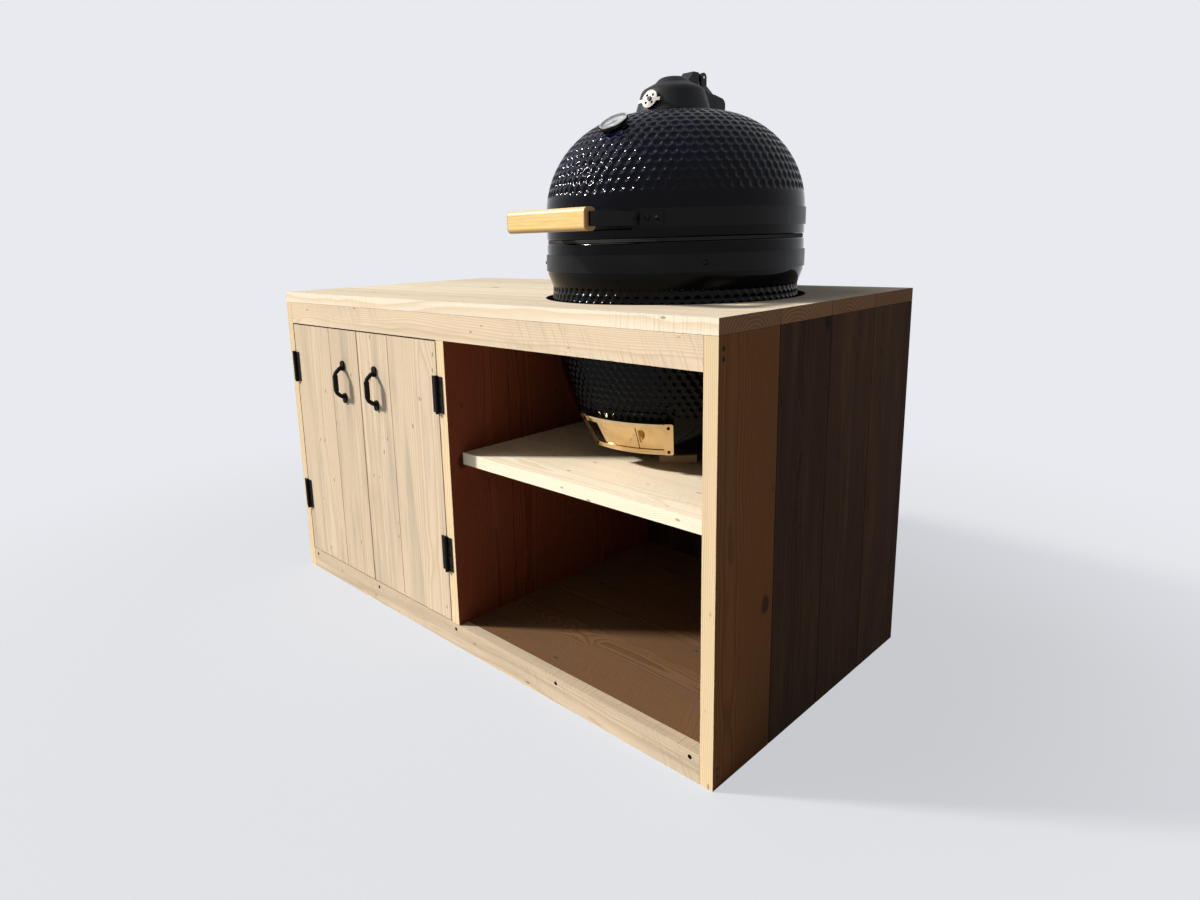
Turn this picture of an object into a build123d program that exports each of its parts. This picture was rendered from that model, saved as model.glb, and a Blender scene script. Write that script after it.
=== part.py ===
from build123d import *
import os
from math import atan2, cos, radians, sin, sqrt

# An outdoor kitchen: a cabinet of scaffold boards with a ceramic kamado barbecue sunk through its worktop.
# Millimetres. X runs along the front from left to right, the front faces -Y and Z is up from the floor.
# The origin is on the floor, in the middle of the cabinet's footprint.

# Boards and carcass
BOARD_WIDTH = 195.0
BOARD_THICK = 30.0
BOARD_SEAM = 0.6
BOARD_ARRIS = 1.2
LEAST_RIP = 25.0
CABINET_WIDTH = 1560.0
CABINET_DEPTH = 780.0
CABINET_HEIGHT = 880.0
RAIL_HEIGHT = 63.0
SHELF_SETBACK = 40.0
BATTEN_WIDTH = 45.0
BATTEN_THICK = 28.0
CLEAT_SETBACK = 60.0
BEARER_COUNT = 5

# Doors
DOOR_THICK = 28.0
DOOR_GAP = 3.0
MEETING_GAP = 5.0
DOOR_INNER_BOARD = 150.0
LEDGE_WIDTH = 95.0
LEDGE_THICK = 22.0
LEDGE_INSET = 40.0
LEDGE_END = 55.0
STOP_LENGTH = 240.0
STOP_THICK = 20.0
STOP_DROP = 27.0
MAGNET_R = 8.0
MAGNET_DEPTH = 9.0
MAGNET_SPREAD = 40.0
CATCH_GAP = 0.3
STRIKE_HEAD_R = 7.5
STRIKE_HEAD = 2.0
STRIKE_LENGTH = 16.0

# Door hinges
HINGE_HEIGHT = 90.0
UPPER_HINGE_DROP = 129.0
LOWER_HINGE_RISE = 182.0
LEAF_WIDTH = 20.0
LEAF_THICK = 2.0
KNUCKLE_R = 4.5
KNUCKLE_GAP = 0.4
LEAF_CLEARANCE = 0.6
HINGE_PIN_R = 2.5
HINGE_PIN_HEAD = 2.0
RUNNING_FIT = 0.06

# Door pulls
PULL_LENGTH = 121.0
PULL_REACH = 34.0
PULL_INSET = 80.5
PULL_DROP = 147.5
PULL_ROD_R = 5.6
PULL_BEND_R = 14.0
PULL_GRIP_R = 7.2
PULL_GRIP_LENGTH = 44.0
PULL_FOOT_WIDTH = 19.0
PULL_FOOT_LENGTH = 29.0
PULL_FOOT_THICK = 5.0

# Screws
SCREW_FIT = 0.05
WOOD_SCREW_HEAD_R = 4.5
WOOD_SCREW_R = 2.5
WOOD_SCREW_LENGTH = 60.0
WOOD_SCREW_PAIR = 18.0
SMALL_SCREW_HEAD_R = 3.6
SMALL_SCREW_R = 1.8
SMALL_SCREW_LENGTH = 20.0

# Kamado bowl
KAMADO_SETBACK = 6.0
RIM_ABOVE_WORKTOP = 123.0
RIM_R = 288.0
RIM_WALL = 30.0
RIM_BELT = 68.0
BOWL_HEIGHT = 475.0
BOWL_WALL = 26.0
BOWL_FLOOR = 28.0
BOWL_NECK_R = 277.0
BOWL_NECK_DROP = 98.0
BOWL_BELLY_R = 262.0
BOWL_BELLY_RISE = 192.0
BOWL_HEEL_R = 222.0
BOWL_HEEL_RISE = 76.0
BOWL_FOOT_R = 140.0
CUTOUT_GAP = 18.0
SHOE_COUNT = 3
SHOE_HEIGHT = 20.0
SHOE_WIDTH = 83.0
SHOE_DEPTH = 60.0
SHOE_OUTER_R = 123.0
SHOE_TURN = 44.0

# Gaskets, bands and their bolts
GASKET_THICK = 3.0
GASKET_INSET = 2.0
LID_GAP = 0.4
BAND_THICK = 2.5
BAND_FIT = 0.2
BAND_HEIGHT = 36.0
LOWER_BAND_DROP = 43.0
UPPER_BAND_RISE = 45.0
BOLT_R = 3.0
BOLT_HEAD_R = 6.0
BOLT_HEAD = 4.0
BAND_BOLT_TURN = 50.0

# Dome
DOME_ARC_RISE = 63.0
DOME_ARC_R = 211.0
DOME_WALL = 24.0
VENT_HOLE_R = 62.0

# Lid hinge at the rear
PIVOT_REACH = 38.0
PIVOT_PIN_R = 6.0
PIVOT_PIN_HEAD_R = 9.0
PIVOT_PIN_HEAD = 4.0
PIVOT_KNUCKLE_R = 12.0
LID_KNUCKLE_WIDTH = 40.0
EAR_THICK = 12.0
EAR_GAP = 0.4
HINGE_WEB = 8.0
HINGE_WEB_WIDTH = 108.0
HINGE_BOLT_SPREAD = 43.0

# Handle
GRIP_STANDOFF = 100.0
GRIP_LENGTH = 220.0
GRIP_HEIGHT = 44.0
GRIP_DEPTH = 30.0
GRIP_ROUND = 9.0
ARM_HEIGHT = 27.0
ARM_PLATE = 5.0
ARM_PAD = 6.0
ARM_PAD_START = 21.0
ARM_PAD_END = 34.0
ARM_ROOT = 4.5
HANDLE_BOLT_TURNS = (28.0, 32.0)

# Thermometer
THERMO_TILT = 56.0
THERMO_R = 31.0
THERMO_HEIGHT = 8.0
THERMO_STANDOFF = 2.0
THERMO_BOSS_R = 12.0
THERMO_RIM = 3.5
THERMO_FLOOR = 2.5
LENS_THICK = 1.8
LENS_LEDGE = 1.5
LENS_RECESS = 0.7
LENS_FIT = 0.1
STEM_R = 4.0
STEM_LENGTH = 60.0
SPINDLE_R = 1.5
NEEDLE_LENGTH = 21.0
NEEDLE_TAIL = 7.0
NEEDLE_WIDTH = 3.0
NEEDLE_THICK = 1.2
NEEDLE_HUB_R = 4.0
NEEDLE_REST = 225.0
NEEDLE_GAP = 0.3

# Vent tower, its cap and its damper
TOWER_BASE_R = 83.0
TOWER_TOP_R = 71.0
TOWER_FOOT = 4.0
TOWER_CONE = 39.5
TOWER_SHOULDER = 21.5
TOWER_WALL = 5.0
TOWER_EDGE_R = 62.0
TOWER_EDGE_RISE = 11.0
TOWER_MOUTH_R = 36.0
TOWER_CROWN_R = 41.0
REAR_BOX_WIDTH = 76.0
REAR_BOX_REACH = 150.0
REAR_BOX_FRONT_RISE = 4.0
REAR_BOX_BACK_HEIGHT = 40.0
REAR_BOX_TUCK = 7.0
REAR_BOX_ROUND = 16.0
SADDLE_HEIGHT = 26.0
CAP_R = 40.0
CAP_TOP_R = 18.0
CAP_HEIGHT = 13.0
CAP_WALL = 4.0
CAP_GAP = 0.4
CAP_PIN_R = 3.0
CAP_PIN_REACH = 96.0
CAP_PIN_RISE = 22.0
CAP_KNUCKLE_R = 8.0
CAP_KNUCKLE_WIDTH = 15.0
CAP_EAR_THICK = 7.0
CAP_EAR_R = 10.0
CAP_LUG_START = 30.0
CAP_LUG_END = 76.0
CAP_LUG_TOP = 20.0
CAP_LUG_RISE = 3.0
DAMPER_RISE = 20.5
DAMPER_R = 19.5
DAMPER_THICK = 2.5
DAMPER_GAP = 0.3
DAMPER_TAB_LENGTH = 9.5
DAMPER_TAB_WIDTH = 7.0
DAMPER_TAB_DROP = 3.0
DAMPER_BOSS_R = 17.5
DAMPER_BOSS = 3.0
DAMPER_STUD_R = 3.0
DAMPER_STUD_HEAD_R = 5.0
DAMPER_STUD_HEAD = 2.0
DAMPER_PORTS = 4
DAMPER_PORT_R = 3.0
DAMPER_PORT_RING = 11.5

# Draft frame and its sliding doors; lean is how far the frame comes out over its height
DRAFT_TURN = 10.5
DRAFT_LOW_RISE = 25.0
DRAFT_HEIGHT = 69.0
DRAFT_R = 226.0
DRAFT_LEAN = 0.56
DRAFT_HALF = 27.5
DRAFT_FRAME_FIT = 0.05
DRAFT_RAIL = 4.0
DRAFT_RAIL_INSET = 1.5
DRAFT_LIP = 8.0
DRAFT_LIP_THICK = 1.8
DRAFT_TRACK_GAP = 0.45
DRAFT_DOOR_THICK = 1.5
DRAFT_SEAM_TURN = 18.3
LEFT_DRAFT_DOOR_WIDTH = 24.0
RIGHT_DRAFT_DOOR_WIDTH = 17.0
DRAFT_DOOR_GAP = 0.3
DRAFT_MEETING = 0.25
DRAFT_POST = 5.0
DRAFT_POST_THICK = 2.4
DRAFT_POST_RISE = 2.0
DRAFT_POST_ROUND = 5.0
DRAFT_PORT_TURN = 12.0
DRAFT_PORT_HALF = 15.0
DRAFT_PORT_LOW_RISE = 51.0
DRAFT_PORT_HEIGHT = 37.0
TAB_REACH = 14.0
TAB_HEIGHT = 32.0
TAB_THICK = 1.6
TAB_TURN = 1.2
TAB_SPLAY = 45.0
TAB_OFFSET = 6.0
DRAFT_SCREW_R = 1.6
DRAFT_SCREW_HEAD_R = 3.2
DRAFT_SCREW_HEAD = 1.6

# Inside the bowl
FIREBOX_FOOT_R = 85.0
FIREBOX_WAIST_R = 185.0
FIREBOX_WAIST_RISE = 84.0
FIREBOX_TOP_R = 222.0
FIREBOX_HEIGHT = 264.0
FIREBOX_WALL = 21.0
FIREBOX_FLOOR = 24.0
GRATE_LEDGE = 15.0
GRATE_FIT = 2.0
GRATE_THICK = 8.0
GRATE_HOLE_R = 9.0
FIRE_RING_HEIGHT = 125.0
FIRE_RING_WALL = 24.0
GRILL_OVERHANG = 4.0
GRILL_RIM = 10.0
GRILL_THICK = 8.0
GRILL_BAR = 6.0
GRILL_PITCH = 20.0

# Places worked out from the sizes above
LEFT = -CABINET_WIDTH / 2
RIGHT = CABINET_WIDTH / 2
FRONT = -CABINET_DEPTH / 2
BACK = CABINET_DEPTH / 2
INNER_LEFT = LEFT + BOARD_THICK
INNER_RIGHT = RIGHT - BOARD_THICK
INNER_BACK = BACK - BOARD_THICK
RAIL_BACK = FRONT + BOARD_THICK
TOP_UNDER = CABINET_HEIGHT - BOARD_THICK
RAIL_UNDER = TOP_UNDER - RAIL_HEIGHT
FLOOR_TOP = RAIL_HEIGHT
FLOOR_UNDER = FLOOR_TOP - BOARD_THICK
PARTITION_HALF = BOARD_THICK / 2
KAMADO_X = (PARTITION_HALF + INNER_RIGHT) / 2
KAMADO_Y = KAMADO_SETBACK
RIM_Z = CABINET_HEIGHT + RIM_ABOVE_WORKTOP
BOWL_Z = RIM_Z - BOWL_HEIGHT
SHELF_TOP = BOWL_Z - SHOE_HEIGHT
SHELF_UNDER = SHELF_TOP - BOARD_THICK
DOOR_LOW = FLOOR_TOP + DOOR_GAP
DOOR_HIGH = RAIL_UNDER - DOOR_GAP
DOOR_BACK = FRONT + DOOR_THICK
MEETING_X = (INNER_LEFT - PARTITION_HALF) / 2
DOOR_WIDTH = MEETING_X - MEETING_GAP / 2 - INNER_LEFT - DOOR_GAP
HINGE_Y = FRONT - KNUCKLE_R - CATCH_GAP
HINGE_LEVELS = (DOOR_LOW + LOWER_HINGE_RISE, DOOR_HIGH - UPPER_HINGE_DROP)
PULL_Z = DOOR_HIGH - PULL_DROP
CATCH_Z = RAIL_UNDER - STOP_DROP / 2
CUTOUT_R = BOWL_NECK_R + CUTOUT_GAP
LID_Z = RIM_Z + 2 * GASKET_THICK + LID_GAP
BAND_INNER_R = RIM_R + BAND_FIT
BAND_OUTER_R = BAND_INNER_R + BAND_THICK
LOWER_BAND_Z = RIM_Z - LOWER_BAND_DROP
UPPER_BAND_Z = RIM_Z + UPPER_BAND_RISE
DOME_ARC_X = RIM_R - DOME_ARC_R
DOME_ARC_Z = RIM_Z + DOME_ARC_RISE
PIVOT_Y = KAMADO_Y + BAND_OUTER_R + PIVOT_REACH
PIVOT_Z = RIM_Z + GASKET_THICK + LID_GAP / 2
GRIP_Y = KAMADO_Y - BAND_OUTER_R - GRIP_STANDOFF
DRAFT_LOW = BOWL_Z + DRAFT_LOW_RISE
DRAFT_HIGH = DRAFT_LOW + DRAFT_HEIGHT
DRAFT_MIDDLE = (DRAFT_LOW + DRAFT_HIGH) / 2
FIREBOX_Z = BOWL_Z + BOWL_FLOOR
FIREBOX_TOP = FIREBOX_Z + FIREBOX_HEIGHT
FIRE_RING_TOP = FIREBOX_TOP + FIRE_RING_HEIGHT
FULL_TURN = 360
FRONT_ANGLE = -90
KAMADO_AXIS = Axis((KAMADO_X, KAMADO_Y, 0), (0, 0, 1))
KAMADO_SECTION = Plane(origin=(KAMADO_X, KAMADO_Y, 0), x_dir=(1, 0, 0), z_dir=(0, -1, 0))
FLAT_TOP = (Align.CENTER, Align.CENTER, Align.MAX)
FLAT_BASE = (Align.CENTER, Align.CENTER, Align.MIN)

os.makedirs("parts", exist_ok=True)


def save(piece, name):
    """Label a finished piece and write it."""
    piece.part.label = name
    export_step(piece.part, f"parts/{name}.step")


def block(corner, opposite, mode=Mode.ADD):
    """A box between two opposite corners."""
    sizes = [abs(b - a) for a, b in zip(corner, opposite)]
    middle = tuple((a + b) / 2 for a, b in zip(corner, opposite))
    with Locations(middle):
        Box(*sizes, mode=mode)


def board_spans(start, total):
    """Where each board of a panel starts and ends: whole boards, then one ripped to what is left."""
    whole = int(total / BOARD_WIDTH + 1e-6)
    edges = [start + BOARD_WIDTH * number for number in range(whole + 1)]
    if start + total - edges[-1] > LEAST_RIP:
        edges.append(start + total)
    edges[-1] = start + total
    half_seam = BOARD_SEAM / 2
    lows = [edges[0]] + [edge + half_seam for edge in edges[1:-1]]
    highs = [edge - half_seam for edge in edges[1:-1]] + [edges[-1]]
    return list(zip(lows, highs))


def facing(x, y, z, direction):
    """A plane at a point, looking out along a direction."""
    return Plane(origin=(x, y, z), z_dir=direction)


def screw(seat, head_r, shank_r, length, slack=0.0, mode=Mode.ADD):
    """A countersunk screw: its head is flush with the seat and its shank runs in behind it."""
    with Locations(seat):
        Cone(shank_r + slack, head_r + slack, head_r - shank_r, align=FLAT_TOP, mode=mode)
        Cylinder(shank_r + slack, length + slack, align=FLAT_TOP, mode=mode)


def wood_screws(seats, slack=0.0, mode=Mode.ADD):
    """Long screws that hold the carcass."""
    for seat in seats:
        screw(seat, WOOD_SCREW_HEAD_R, WOOD_SCREW_R, WOOD_SCREW_LENGTH, slack, mode)


def small_screws(seats, slack=0.0, mode=Mode.ADD):
    """Short screws that hold hinge leaves and pulls."""
    for seat in seats:
        screw(seat, SMALL_SCREW_HEAD_R, SMALL_SCREW_R, SMALL_SCREW_LENGTH, slack, mode)


def bolt(seat, length):
    """A button-headed bolt standing on its seat, with its shank behind it."""
    with Locations(seat):
        Cone(BOLT_HEAD_R, BOLT_R, BOLT_HEAD, align=FLAT_BASE)
        Cylinder(BOLT_R, length, align=FLAT_TOP)


def ring(inner_r, outer_r, low, high, mode=Mode.ADD):
    """A ring round the kamado's axis."""
    with BuildSketch(Plane(origin=(KAMADO_X, KAMADO_Y, low))) as outline:
        Circle(outer_r)
        Circle(inner_r, mode=Mode.SUBTRACT)
    extrude(outline.sketch, amount=high - low, mode=mode)


def sector(inner_r, outer_r, start, end, low, high, mode=Mode.ADD):
    """Part of a ring round the kamado's axis; angles run from the front towards the right."""
    with BuildSketch(Plane(origin=(KAMADO_X, KAMADO_Y, low))) as outline:
        with BuildLine():
            outside = CenterArc((0, 0), outer_r, start + FRONT_ANGLE, end - start)
            inside = CenterArc((0, 0), inner_r, start + FRONT_ANGLE, end - start)
            Line(outside @ 0, inside @ 0)
            Line(outside @ 1, inside @ 1)
        make_face()
    extrude(outline.sketch, amount=high - low, mode=mode)


def kamado_point(radius, turn):
    """A place round the kamado's axis, turned from the front towards the right."""
    x = KAMADO_X + radius * sin(radians(turn))
    y = KAMADO_Y - radius * cos(radians(turn))
    return x, y


def kamado_facing(radius, turn, z):
    """A plane on a drum round the kamado's axis, looking straight out."""
    x, y = kamado_point(radius, turn)
    return facing(x, y, z, (sin(radians(turn)), -cos(radians(turn)), 0))


def dome_height(radius):
    """Height of the dome's outer surface at a radius."""
    return DOME_ARC_Z + sqrt(DOME_ARC_R**2 - (radius - DOME_ARC_X) ** 2)


# Places of the screws in the carcass
RAIL_MIDDLES = (RAIL_HEIGHT / 2, TOP_UNDER - RAIL_HEIGHT / 2)
SIDE_SCREWS = [
    facing(side * RIGHT, (FRONT + RAIL_BACK) / 2, middle + half * WOOD_SCREW_PAIR / 2, (side, 0, 0))
    for side in (-1, 1)
    for middle in RAIL_MIDDLES
    for half in (-1, 1)
]
BEARER_STEP = (INNER_RIGHT - INNER_LEFT - BATTEN_WIDTH) / (BEARER_COUNT - 1)
BEARERS = [INNER_LEFT + BATTEN_WIDTH / 2 + BEARER_STEP * number for number in range(BEARER_COUNT)]
RAIL_SCREWS = [facing(x, FRONT, (FLOOR_UNDER + FLOOR_TOP) / 2, (0, -1, 0)) for x in BEARERS]


def hinge_x(side):
    """The hinge axis of the left door (-1) or the right door (1)."""
    return INNER_LEFT + DOOR_GAP / 2 if side < 0 else -PARTITION_HALF - DOOR_GAP / 2


def door_x(side, reach):
    """A place across a door, counted from its hinged edge."""
    return hinge_x(side) - side * (DOOR_GAP / 2 + reach)


def leaf_screws(side, towards):
    """Seats of the screws in one column of hinge leaves; towards is 1 on the frame and -1 on the door."""
    x = hinge_x(side) + side * towards * (LEAF_WIDTH + KNUCKLE_R) / 2
    steps = (-HINGE_HEIGHT / 3, 0, HINGE_HEIGHT / 3)
    return [facing(x, FRONT - LEAF_THICK, z + step, (0, -1, 0)) for z in HINGE_LEVELS for step in steps]


FRAME_LEAF_SCREWS = {side: leaf_screws(side, 1) for side in (-1, 1)}

# Worktop: boards along the length, cut through by one round hole for the kamado
for number, (low_y, high_y) in enumerate(board_spans(FRONT, CABINET_DEPTH), 1):
    with BuildPart() as worktop_plank:
        block((LEFT, low_y, TOP_UNDER), (RIGHT, high_y, CABINET_HEIGHT))
        chamfer(worktop_plank.edges().filter_by(Axis.X), BOARD_ARRIS)
        with BuildSketch(Plane(origin=(KAMADO_X, KAMADO_Y, TOP_UNDER))):
            Circle(CUTOUT_R)
        extrude(amount=BOARD_THICK, mode=Mode.SUBTRACT)
    save(worktop_plank, f"worktop_plank_{number}")

# Battens under the worktop, along the sides, the partition and the back
BATTEN_LOW = TOP_UNDER - BATTEN_WIDTH
BATTEN_BACK = INNER_BACK - BATTEN_THICK
with BuildPart() as worktop_battens:
    for start in (
        INNER_LEFT,
        MEETING_X - BATTEN_THICK / 2,
        -PARTITION_HALF - BATTEN_THICK,
        PARTITION_HALF,
        INNER_RIGHT - BATTEN_THICK,
    ):
        far = (start + BATTEN_THICK, BATTEN_BACK - BOARD_SEAM, TOP_UNDER)
        block((start, RAIL_BACK, BATTEN_LOW), far)
    block((INNER_LEFT, BATTEN_BACK, BATTEN_LOW), (-PARTITION_HALF, INNER_BACK, TOP_UNDER))
    block((PARTITION_HALF, BATTEN_BACK, BATTEN_LOW), (INNER_RIGHT, INNER_BACK, TOP_UNDER))
save(worktop_battens, "worktop_battens")

# Side panels: upright boards from the floor to the worktop
for name, outer_x, inner_x, side in (
    ("left_side_planks", LEFT, INNER_LEFT, -1),
    ("right_side_planks", RIGHT, INNER_RIGHT, 1),
):
    with BuildPart() as side_planks:
        for low_y, high_y in board_spans(FRONT, INNER_BACK - FRONT):
            block((outer_x, low_y, 0), (inner_x, high_y, TOP_UNDER))
        chamfer(side_planks.edges().filter_by(Axis.Z), BOARD_ARRIS)
        wood_screws(SIDE_SCREWS, SCREW_FIT, Mode.SUBTRACT)
        if side < 0:
            small_screws(FRAME_LEAF_SCREWS[side], SCREW_FIT, Mode.SUBTRACT)
    save(side_planks, name)

# Partition: upright boards on the bottom boards, notched behind the top front rail
with BuildPart() as partition_planks:
    for low_y, high_y in board_spans(FRONT, INNER_BACK - FRONT):
        block((-PARTITION_HALF, low_y, FLOOR_TOP), (PARTITION_HALF, high_y, TOP_UNDER))
    chamfer(partition_planks.edges().filter_by(Axis.Z), BOARD_ARRIS)
    block((-PARTITION_HALF, FRONT, RAIL_UNDER), (PARTITION_HALF, RAIL_BACK, TOP_UNDER), Mode.SUBTRACT)
    small_screws(FRAME_LEAF_SCREWS[1], SCREW_FIT, Mode.SUBTRACT)
save(partition_planks, "partition_planks")

# Back: upright boards over the rear edges of the side panels
with BuildPart() as back_planks:
    for low_x, high_x in board_spans(LEFT, CABINET_WIDTH):
        block((low_x, INNER_BACK, 0), (high_x, BACK, TOP_UNDER))
    chamfer(back_planks.edges().filter_by(Axis.Z), BOARD_ARRIS)
save(back_planks, "back_planks")

# Front rails, on the floor and under the worktop
with BuildPart() as front_rails:
    for middle in RAIL_MIDDLES:
        low = middle - RAIL_HEIGHT / 2
        block((INNER_LEFT, FRONT, low), (INNER_RIGHT, RAIL_BACK, low + RAIL_HEIGHT))
    chamfer(front_rails.edges().filter_by(Axis.X), BOARD_ARRIS)
    wood_screws(SIDE_SCREWS + RAIL_SCREWS, SCREW_FIT, Mode.SUBTRACT)
save(front_rails, "front_rails")

# Bottom boards on their bearers
with BuildPart() as bottom_planks:
    for low_y, high_y in board_spans(RAIL_BACK, INNER_BACK - RAIL_BACK):
        block((INNER_LEFT, low_y, FLOOR_UNDER), (INNER_RIGHT, high_y, FLOOR_TOP))
    chamfer(bottom_planks.edges().filter_by(Axis.X), BOARD_ARRIS)
    wood_screws(RAIL_SCREWS, SCREW_FIT, Mode.SUBTRACT)
save(bottom_planks, "bottom_planks")

with BuildPart() as floor_bearers:
    for x in BEARERS:
        block((x - BATTEN_WIDTH / 2, RAIL_BACK, 0), (x + BATTEN_WIDTH / 2, INNER_BACK, FLOOR_UNDER))
save(floor_bearers, "floor_bearers")

# Shelf that carries the kamado, on cleats along three sides
with BuildPart() as shelf_planks:
    for low_y, high_y in board_spans(FRONT + SHELF_SETBACK, INNER_BACK - FRONT - SHELF_SETBACK):
        block((PARTITION_HALF, low_y, SHELF_UNDER), (INNER_RIGHT, high_y, SHELF_TOP))
    chamfer(shelf_planks.edges().filter_by(Axis.X), BOARD_ARRIS)
save(shelf_planks, "shelf_planks")

CLEAT_FRONT = FRONT + SHELF_SETBACK + CLEAT_SETBACK
CLEAT_LOW = SHELF_UNDER - BATTEN_WIDTH
with BuildPart() as shelf_cleats:
    for start in (PARTITION_HALF, INNER_RIGHT - BATTEN_THICK):
        far = (start + BATTEN_THICK, BATTEN_BACK - BOARD_SEAM, SHELF_UNDER)
        block((start, CLEAT_FRONT, CLEAT_LOW), far)
    block((PARTITION_HALF, BATTEN_BACK, CLEAT_LOW), (INNER_RIGHT, INNER_BACK, SHELF_UNDER))
save(shelf_cleats, "shelf_cleats")

# Screws of the carcass and of the hinge leaves on it
with BuildPart() as cabinet_screws:
    wood_screws(SIDE_SCREWS + RAIL_SCREWS)
    for side in (-1, 1):
        small_screws(FRAME_LEAF_SCREWS[side])
save(cabinet_screws, "cabinet_screws")

# Stop strip behind the doors, with a pot magnet for each door
CATCH_XS = (MEETING_X - MAGNET_SPREAD, MEETING_X + MAGNET_SPREAD)
MAGNET_FACE = DOOR_BACK + CATCH_GAP
with BuildPart() as magnet_catches:
    for x in CATCH_XS:
        with Locations(facing(x, MAGNET_FACE, CATCH_Z, (0, -1, 0))):
            Cylinder(MAGNET_R, MAGNET_DEPTH, align=FLAT_TOP)
save(magnet_catches, "magnet_catches")

with BuildPart() as door_stop:
    low_corner = (MEETING_X - STOP_LENGTH / 2, RAIL_BACK, RAIL_UNDER - STOP_DROP)
    block(low_corner, (MEETING_X + STOP_LENGTH / 2, RAIL_BACK + STOP_THICK, BATTEN_LOW))
    for x in CATCH_XS:
        with Locations(facing(x, MAGNET_FACE, CATCH_Z, (0, -1, 0))):
            Cylinder(MAGNET_R, MAGNET_DEPTH, align=FLAT_TOP, mode=Mode.SUBTRACT)
save(door_stop, "door_stop")


def knuckle_bands(z, towards):
    """Heights of a leaf's knuckles: two outer ones on the frame, one middle one on the door."""
    third = HINGE_HEIGHT / 3
    if towards > 0:
        return [(z - HINGE_HEIGHT / 2, z - third / 2), (z + third / 2, z + HINGE_HEIGHT / 2)]
    return [(z - third / 2 + KNUCKLE_GAP, z + third / 2 - KNUCKLE_GAP)]


def hinge_leaf(side, z, towards, bore_r):
    """A hinge leaf: a plate on the front face and the knuckles that it carries."""
    axis_x = hinge_x(side)
    outward = side * towards
    plate_start = axis_x + outward * (KNUCKLE_R + LEAF_CLEARANCE)
    plate_end = axis_x + outward * LEAF_WIDTH
    low, high = z - HINGE_HEIGHT / 2, z + HINGE_HEIGHT / 2
    block((plate_start, FRONT - LEAF_THICK, low), (plate_end, FRONT, high))
    for start, end in knuckle_bands(z, towards):
        wrap_end = axis_x + outward * DOOR_GAP / 2
        block((wrap_end, FRONT - LEAF_THICK, start), (plate_start, FRONT, end))
        with Locations((axis_x, HINGE_Y, (start + end) / 2)):
            Cylinder(KNUCKLE_R, end - start)
            Cylinder(bore_r, end - start, mode=Mode.SUBTRACT)


def hinge_leaves(side, towards, bore_r, seats):
    """Both leaves of one column, with their screw holes."""
    for z in HINGE_LEVELS:
        hinge_leaf(side, z, towards, bore_r)
    small_screws(seats, SCREW_FIT, Mode.SUBTRACT)


with BuildPart() as frame_hinge_leaves:
    for side in (-1, 1):
        hinge_leaves(side, 1, HINGE_PIN_R, FRAME_LEAF_SCREWS[side])
save(frame_hinge_leaves, "frame_hinge_leaves")

with BuildPart() as hinge_pins:
    for side in (-1, 1):
        for z in HINGE_LEVELS:
            with Locations((hinge_x(side), HINGE_Y, z)):
                Cylinder(HINGE_PIN_R, HINGE_HEIGHT)
            for end in (-1, 1):
                with Locations((hinge_x(side), HINGE_Y, z + end * (HINGE_HEIGHT + HINGE_PIN_HEAD) / 2)):
                    Cylinder(KNUCKLE_R, HINGE_PIN_HEAD)
save(hinge_pins, "hinge_pins")


def pull_feet(side):
    """Seats of a pull's two screws, in the outer end of each foot."""
    x = door_x(side, DOOR_WIDTH - PULL_INSET)
    reach = (PULL_LENGTH - PULL_FOOT_WIDTH) / 2
    return [facing(x, FRONT - PULL_FOOT_THICK, PULL_Z + end * reach, (0, -1, 0)) for end in (-1, 1)]


def strike_screw(side, slack=0.0, mode=Mode.ADD):
    """The broad-headed screw in a door's back that its magnet pulls on."""
    with Locations(facing(MEETING_X + side * MAGNET_SPREAD, DOOR_BACK, CATCH_Z, (0, 1, 0))):
        Cylinder(STRIKE_HEAD_R + slack, STRIKE_HEAD, align=FLAT_TOP, mode=mode)
        Cylinder(SMALL_SCREW_R + slack, STRIKE_LENGTH + slack, align=FLAT_TOP, mode=mode)


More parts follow.
